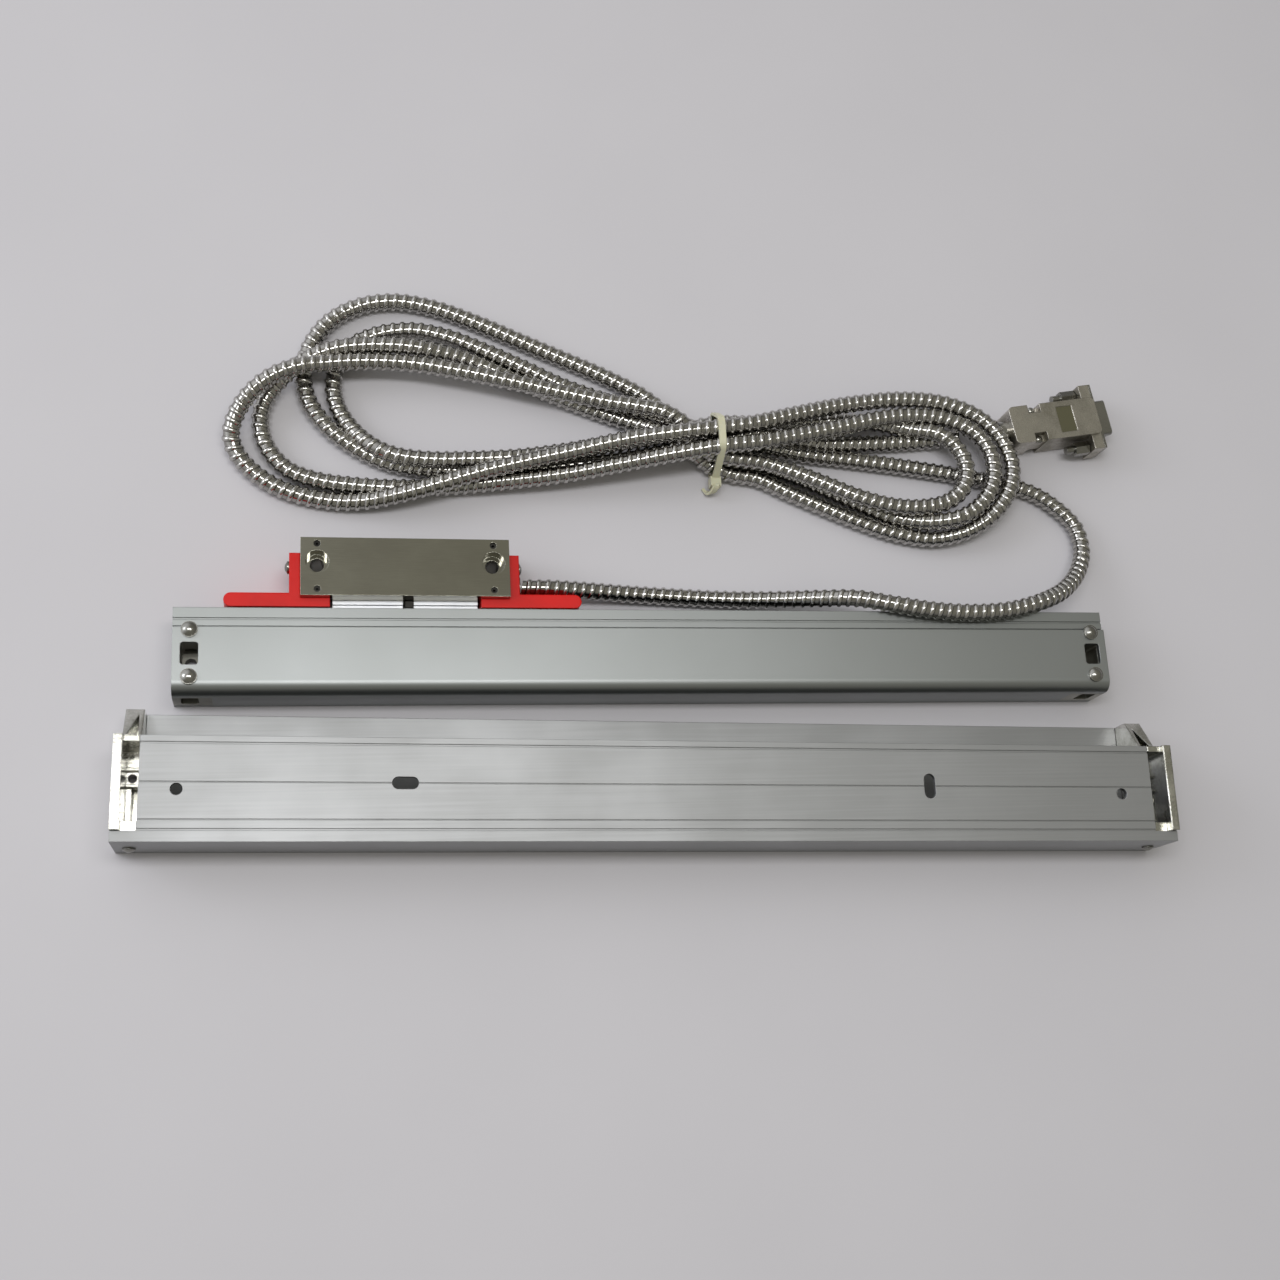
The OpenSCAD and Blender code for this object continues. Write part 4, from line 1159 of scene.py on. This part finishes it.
@dataclass
class Plug:
    """The nine-way plug at the cable's end, with its cast hood.

    Attributes:
        rear: the middle of the hood's rear end, along X and Y, in millimetres.
        turn: how far the plug is turned, in degrees.
        field_at: the middle of the blank field, from the rear end, in millimetres.
        field_size: the blank field's length and width, in millimetres.
        field_heights: its underside and its top, in millimetres.
        solids: the CAD pieces it is made of.
    """

    rear: tuple[float, float] = (167.0, 107.5)
    turn: float = 9.0
    field_at: float = 27.0
    field_size: tuple[float, float] = (7.6, 12.1)
    field_heights: tuple[float, float] = (15.9, 16.06)
    solids: tuple[str, ...] = (
        "plug_collar",
        "hood_lower",
        "hood_upper",
        "hood_screws",
        "plug_shell",
        "plug_insert",
        "plug_pins",
        "jackscrew_far",
        "jackscrew_near",
    )

    def build(self, wardrobe: Wardrobe) -> list[bpy.types.Object]:
        """Dresses the plug.

        Args:
            wardrobe: where the finishes come from.

        Returns:
            Its pieces.
        """
        wardrobe.dress(*self.solids)
        return [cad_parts[name] for name in self.solids] + [self.field(wardrobe)]

    def field(self, wardrobe: Wardrobe) -> bpy.types.Object:
        """Lays the dark blank field in the upper shell's recess.

        Args:
            wardrobe: where the finishes come from.

        Returns:
            The field.
        """
        place = Matrix.Translation((self.rear[0] * MM, self.rear[1] * MM, 0.0)) @ Matrix.Rotation(
            math.radians(self.turn), 4, "Z"
        )
        long, wide = self.field_size
        u, v = self.field_at - long / 2, wide / 2
        outline = [(u, -v), (u + long, -v), (u + long, v), (u, v)]
        low, high = self.field_heights
        dull = wardrobe.of(Surface.DARK_FIELD)
        made = prism("plug_field", outline, low, high, place, dull, edge=0.05)
        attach(made, "head")
        return made


# ---------------------------------------------------------------------------
# Housing, head and cover
# ---------------------------------------------------------------------------


@dataclass
class Housing:
    """The long housing with its end blocks, sealing lips and glass scale.

    Attributes:
        solids: the CAD pieces it is made of.
    """

    solids: tuple[str, ...] = (
        "housing",
        "end_block_left",
        "end_block_right",
        "end_gasket_left",
        "end_gasket_right",
        "block_screws",
        "glass_scale",
        "glass_bond",
        "lip_upper",
        "lip_lower",
    )

    def build(self, wardrobe: Wardrobe) -> None:
        """Dresses the housing.

        Args:
            wardrobe: where the finishes come from.
        """
        wardrobe.dress(*self.solids)


@dataclass
class ReadingHead:
    """The reading head between its red transport brackets, with the carriage inside.

    Attributes:
        solids: the CAD pieces it is made of.
        rollers: the carriage's ball bearings.
        rail_ends: where the rail starts, is parted and ends along X, in millimetres.
        rail_gap: how far each half stops short of where the rail is parted, in millimetres.
        rail_section: the rail's section, as Y and Z, in millimetres.
        clip_reach: how far the clip reaches left and right of the parting, in millimetres.
        clip_section: the clip's section, as Y and Z, in millimetres.
    """

    solids: tuple[str, ...] = (
        "head_block",
        "head_cover",
        "adjust_screws",
        "circuit_board",
        "blade",
        "carriage",
        "lamp_module",
        "reticle",
        "detector_board",
        "roller_pins",
        "transport_bracket_left",
        "transport_bracket_right",
        "bracket_screws",
        "cable_gland",
    )
    rollers: tuple[str, ...] = (
        "face_roller_left",
        "face_roller_right",
        "face_roller_middle",
        "edge_roller_left",
        "edge_roller_right",
    )
    rail_ends: tuple[float, float, float] = (-134.0, -104.8, -76.0)
    rail_gap: float = 1.2
    rail_section: tuple[tuple[float, float], ...] = (
        (19.5, 12.6),
        (23.0, 12.6),
        (23.0, 17.4),
        (21.2, 17.4),
        (21.2, 16.2),
        (19.5, 16.2),
    )
    clip_reach: tuple[float, float] = (0.6, 3.0)
    clip_section: tuple[tuple[float, float], ...] = (
        (19.8, 15.5),
        (23.0, 15.5),
        (23.0, 18.0),
        (19.8, 18.0),
    )

    def build(self, wardrobe: Wardrobe) -> None:
        """Dresses the head.

        Args:
            wardrobe: where the finishes come from.
        """
        wardrobe.dress(*self.solids, *self.rollers)
        wardrobe.dress_as(Surface.BLACKENED, "adjust_screws")
        self.rail(wardrobe)

    def rail(self, wardrobe: Wardrobe) -> None:
        """Fits the bright stepped rail between head and housing, in two halves with a clip between.

        Args:
            wardrobe: where the finishes come from.
        """
        along = Matrix(((0, 0, 1, 0), (1, 0, 0, 0), (0, 1, 0, 0), (0, 0, 0, 1)))
        bright = wardrobe.of(Surface.GROUND_ZINC)
        left, middle, right = self.rail_ends
        gap = self.rail_gap
        halves = {"rail_left": (left, middle - gap), "rail_right": (middle + gap, right)}
        for name, (low, high) in halves.items():
            made = prism(name, list(self.rail_section), low, high, along, bright, edge=0.15)
            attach(made, "head")
        low, high = middle - self.clip_reach[0], middle + self.clip_reach[1]
        dark = wardrobe.of(Surface.BLACKENED)
        clip = prism("rail_clip", list(self.clip_section), low, high, along, dark, edge=0.3)
        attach(clip, "head")


@dataclass
class DustCover:
    """The loose dust cover with its two cast end brackets.

    Attributes:
        solids: the CAD pieces it is made of.
    """

    solids: tuple[str, ...] = ("cover_profile", "cover_end_left", "cover_end_right", "cover_screws")

    def build(self, wardrobe: Wardrobe) -> None:
        """Dresses the cover.

        Args:
            wardrobe: where the finishes come from.
        """
        wardrobe.dress(*self.solids)


def main() -> None:
    """Builds the whole object in order: camera and cable first, then what they lie beside."""
    logging.basicConfig(level=logging.INFO, format="%(message)s", stream=sys.stdout)
    bpy.context.scene.view_settings.view_transform = "Standard"
    wardrobe = Wardrobe()
    studio = Studio()
    studio.camera()
    tie = CableTie().build(wardrobe)
    plug = Plug().build(wardrobe)
    cable = ArmouredCable(route=ROUTE)
    cable.build(wardrobe, [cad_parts["cable_tie"], tie, *plug])
    Housing().build(wardrobe)
    ReadingHead().build(wardrobe)
    DustCover().build(wardrobe)
    studio.floor(wardrobe)
    studio.lamps()
    studio.room()


if __name__ == "__main__":
    main()
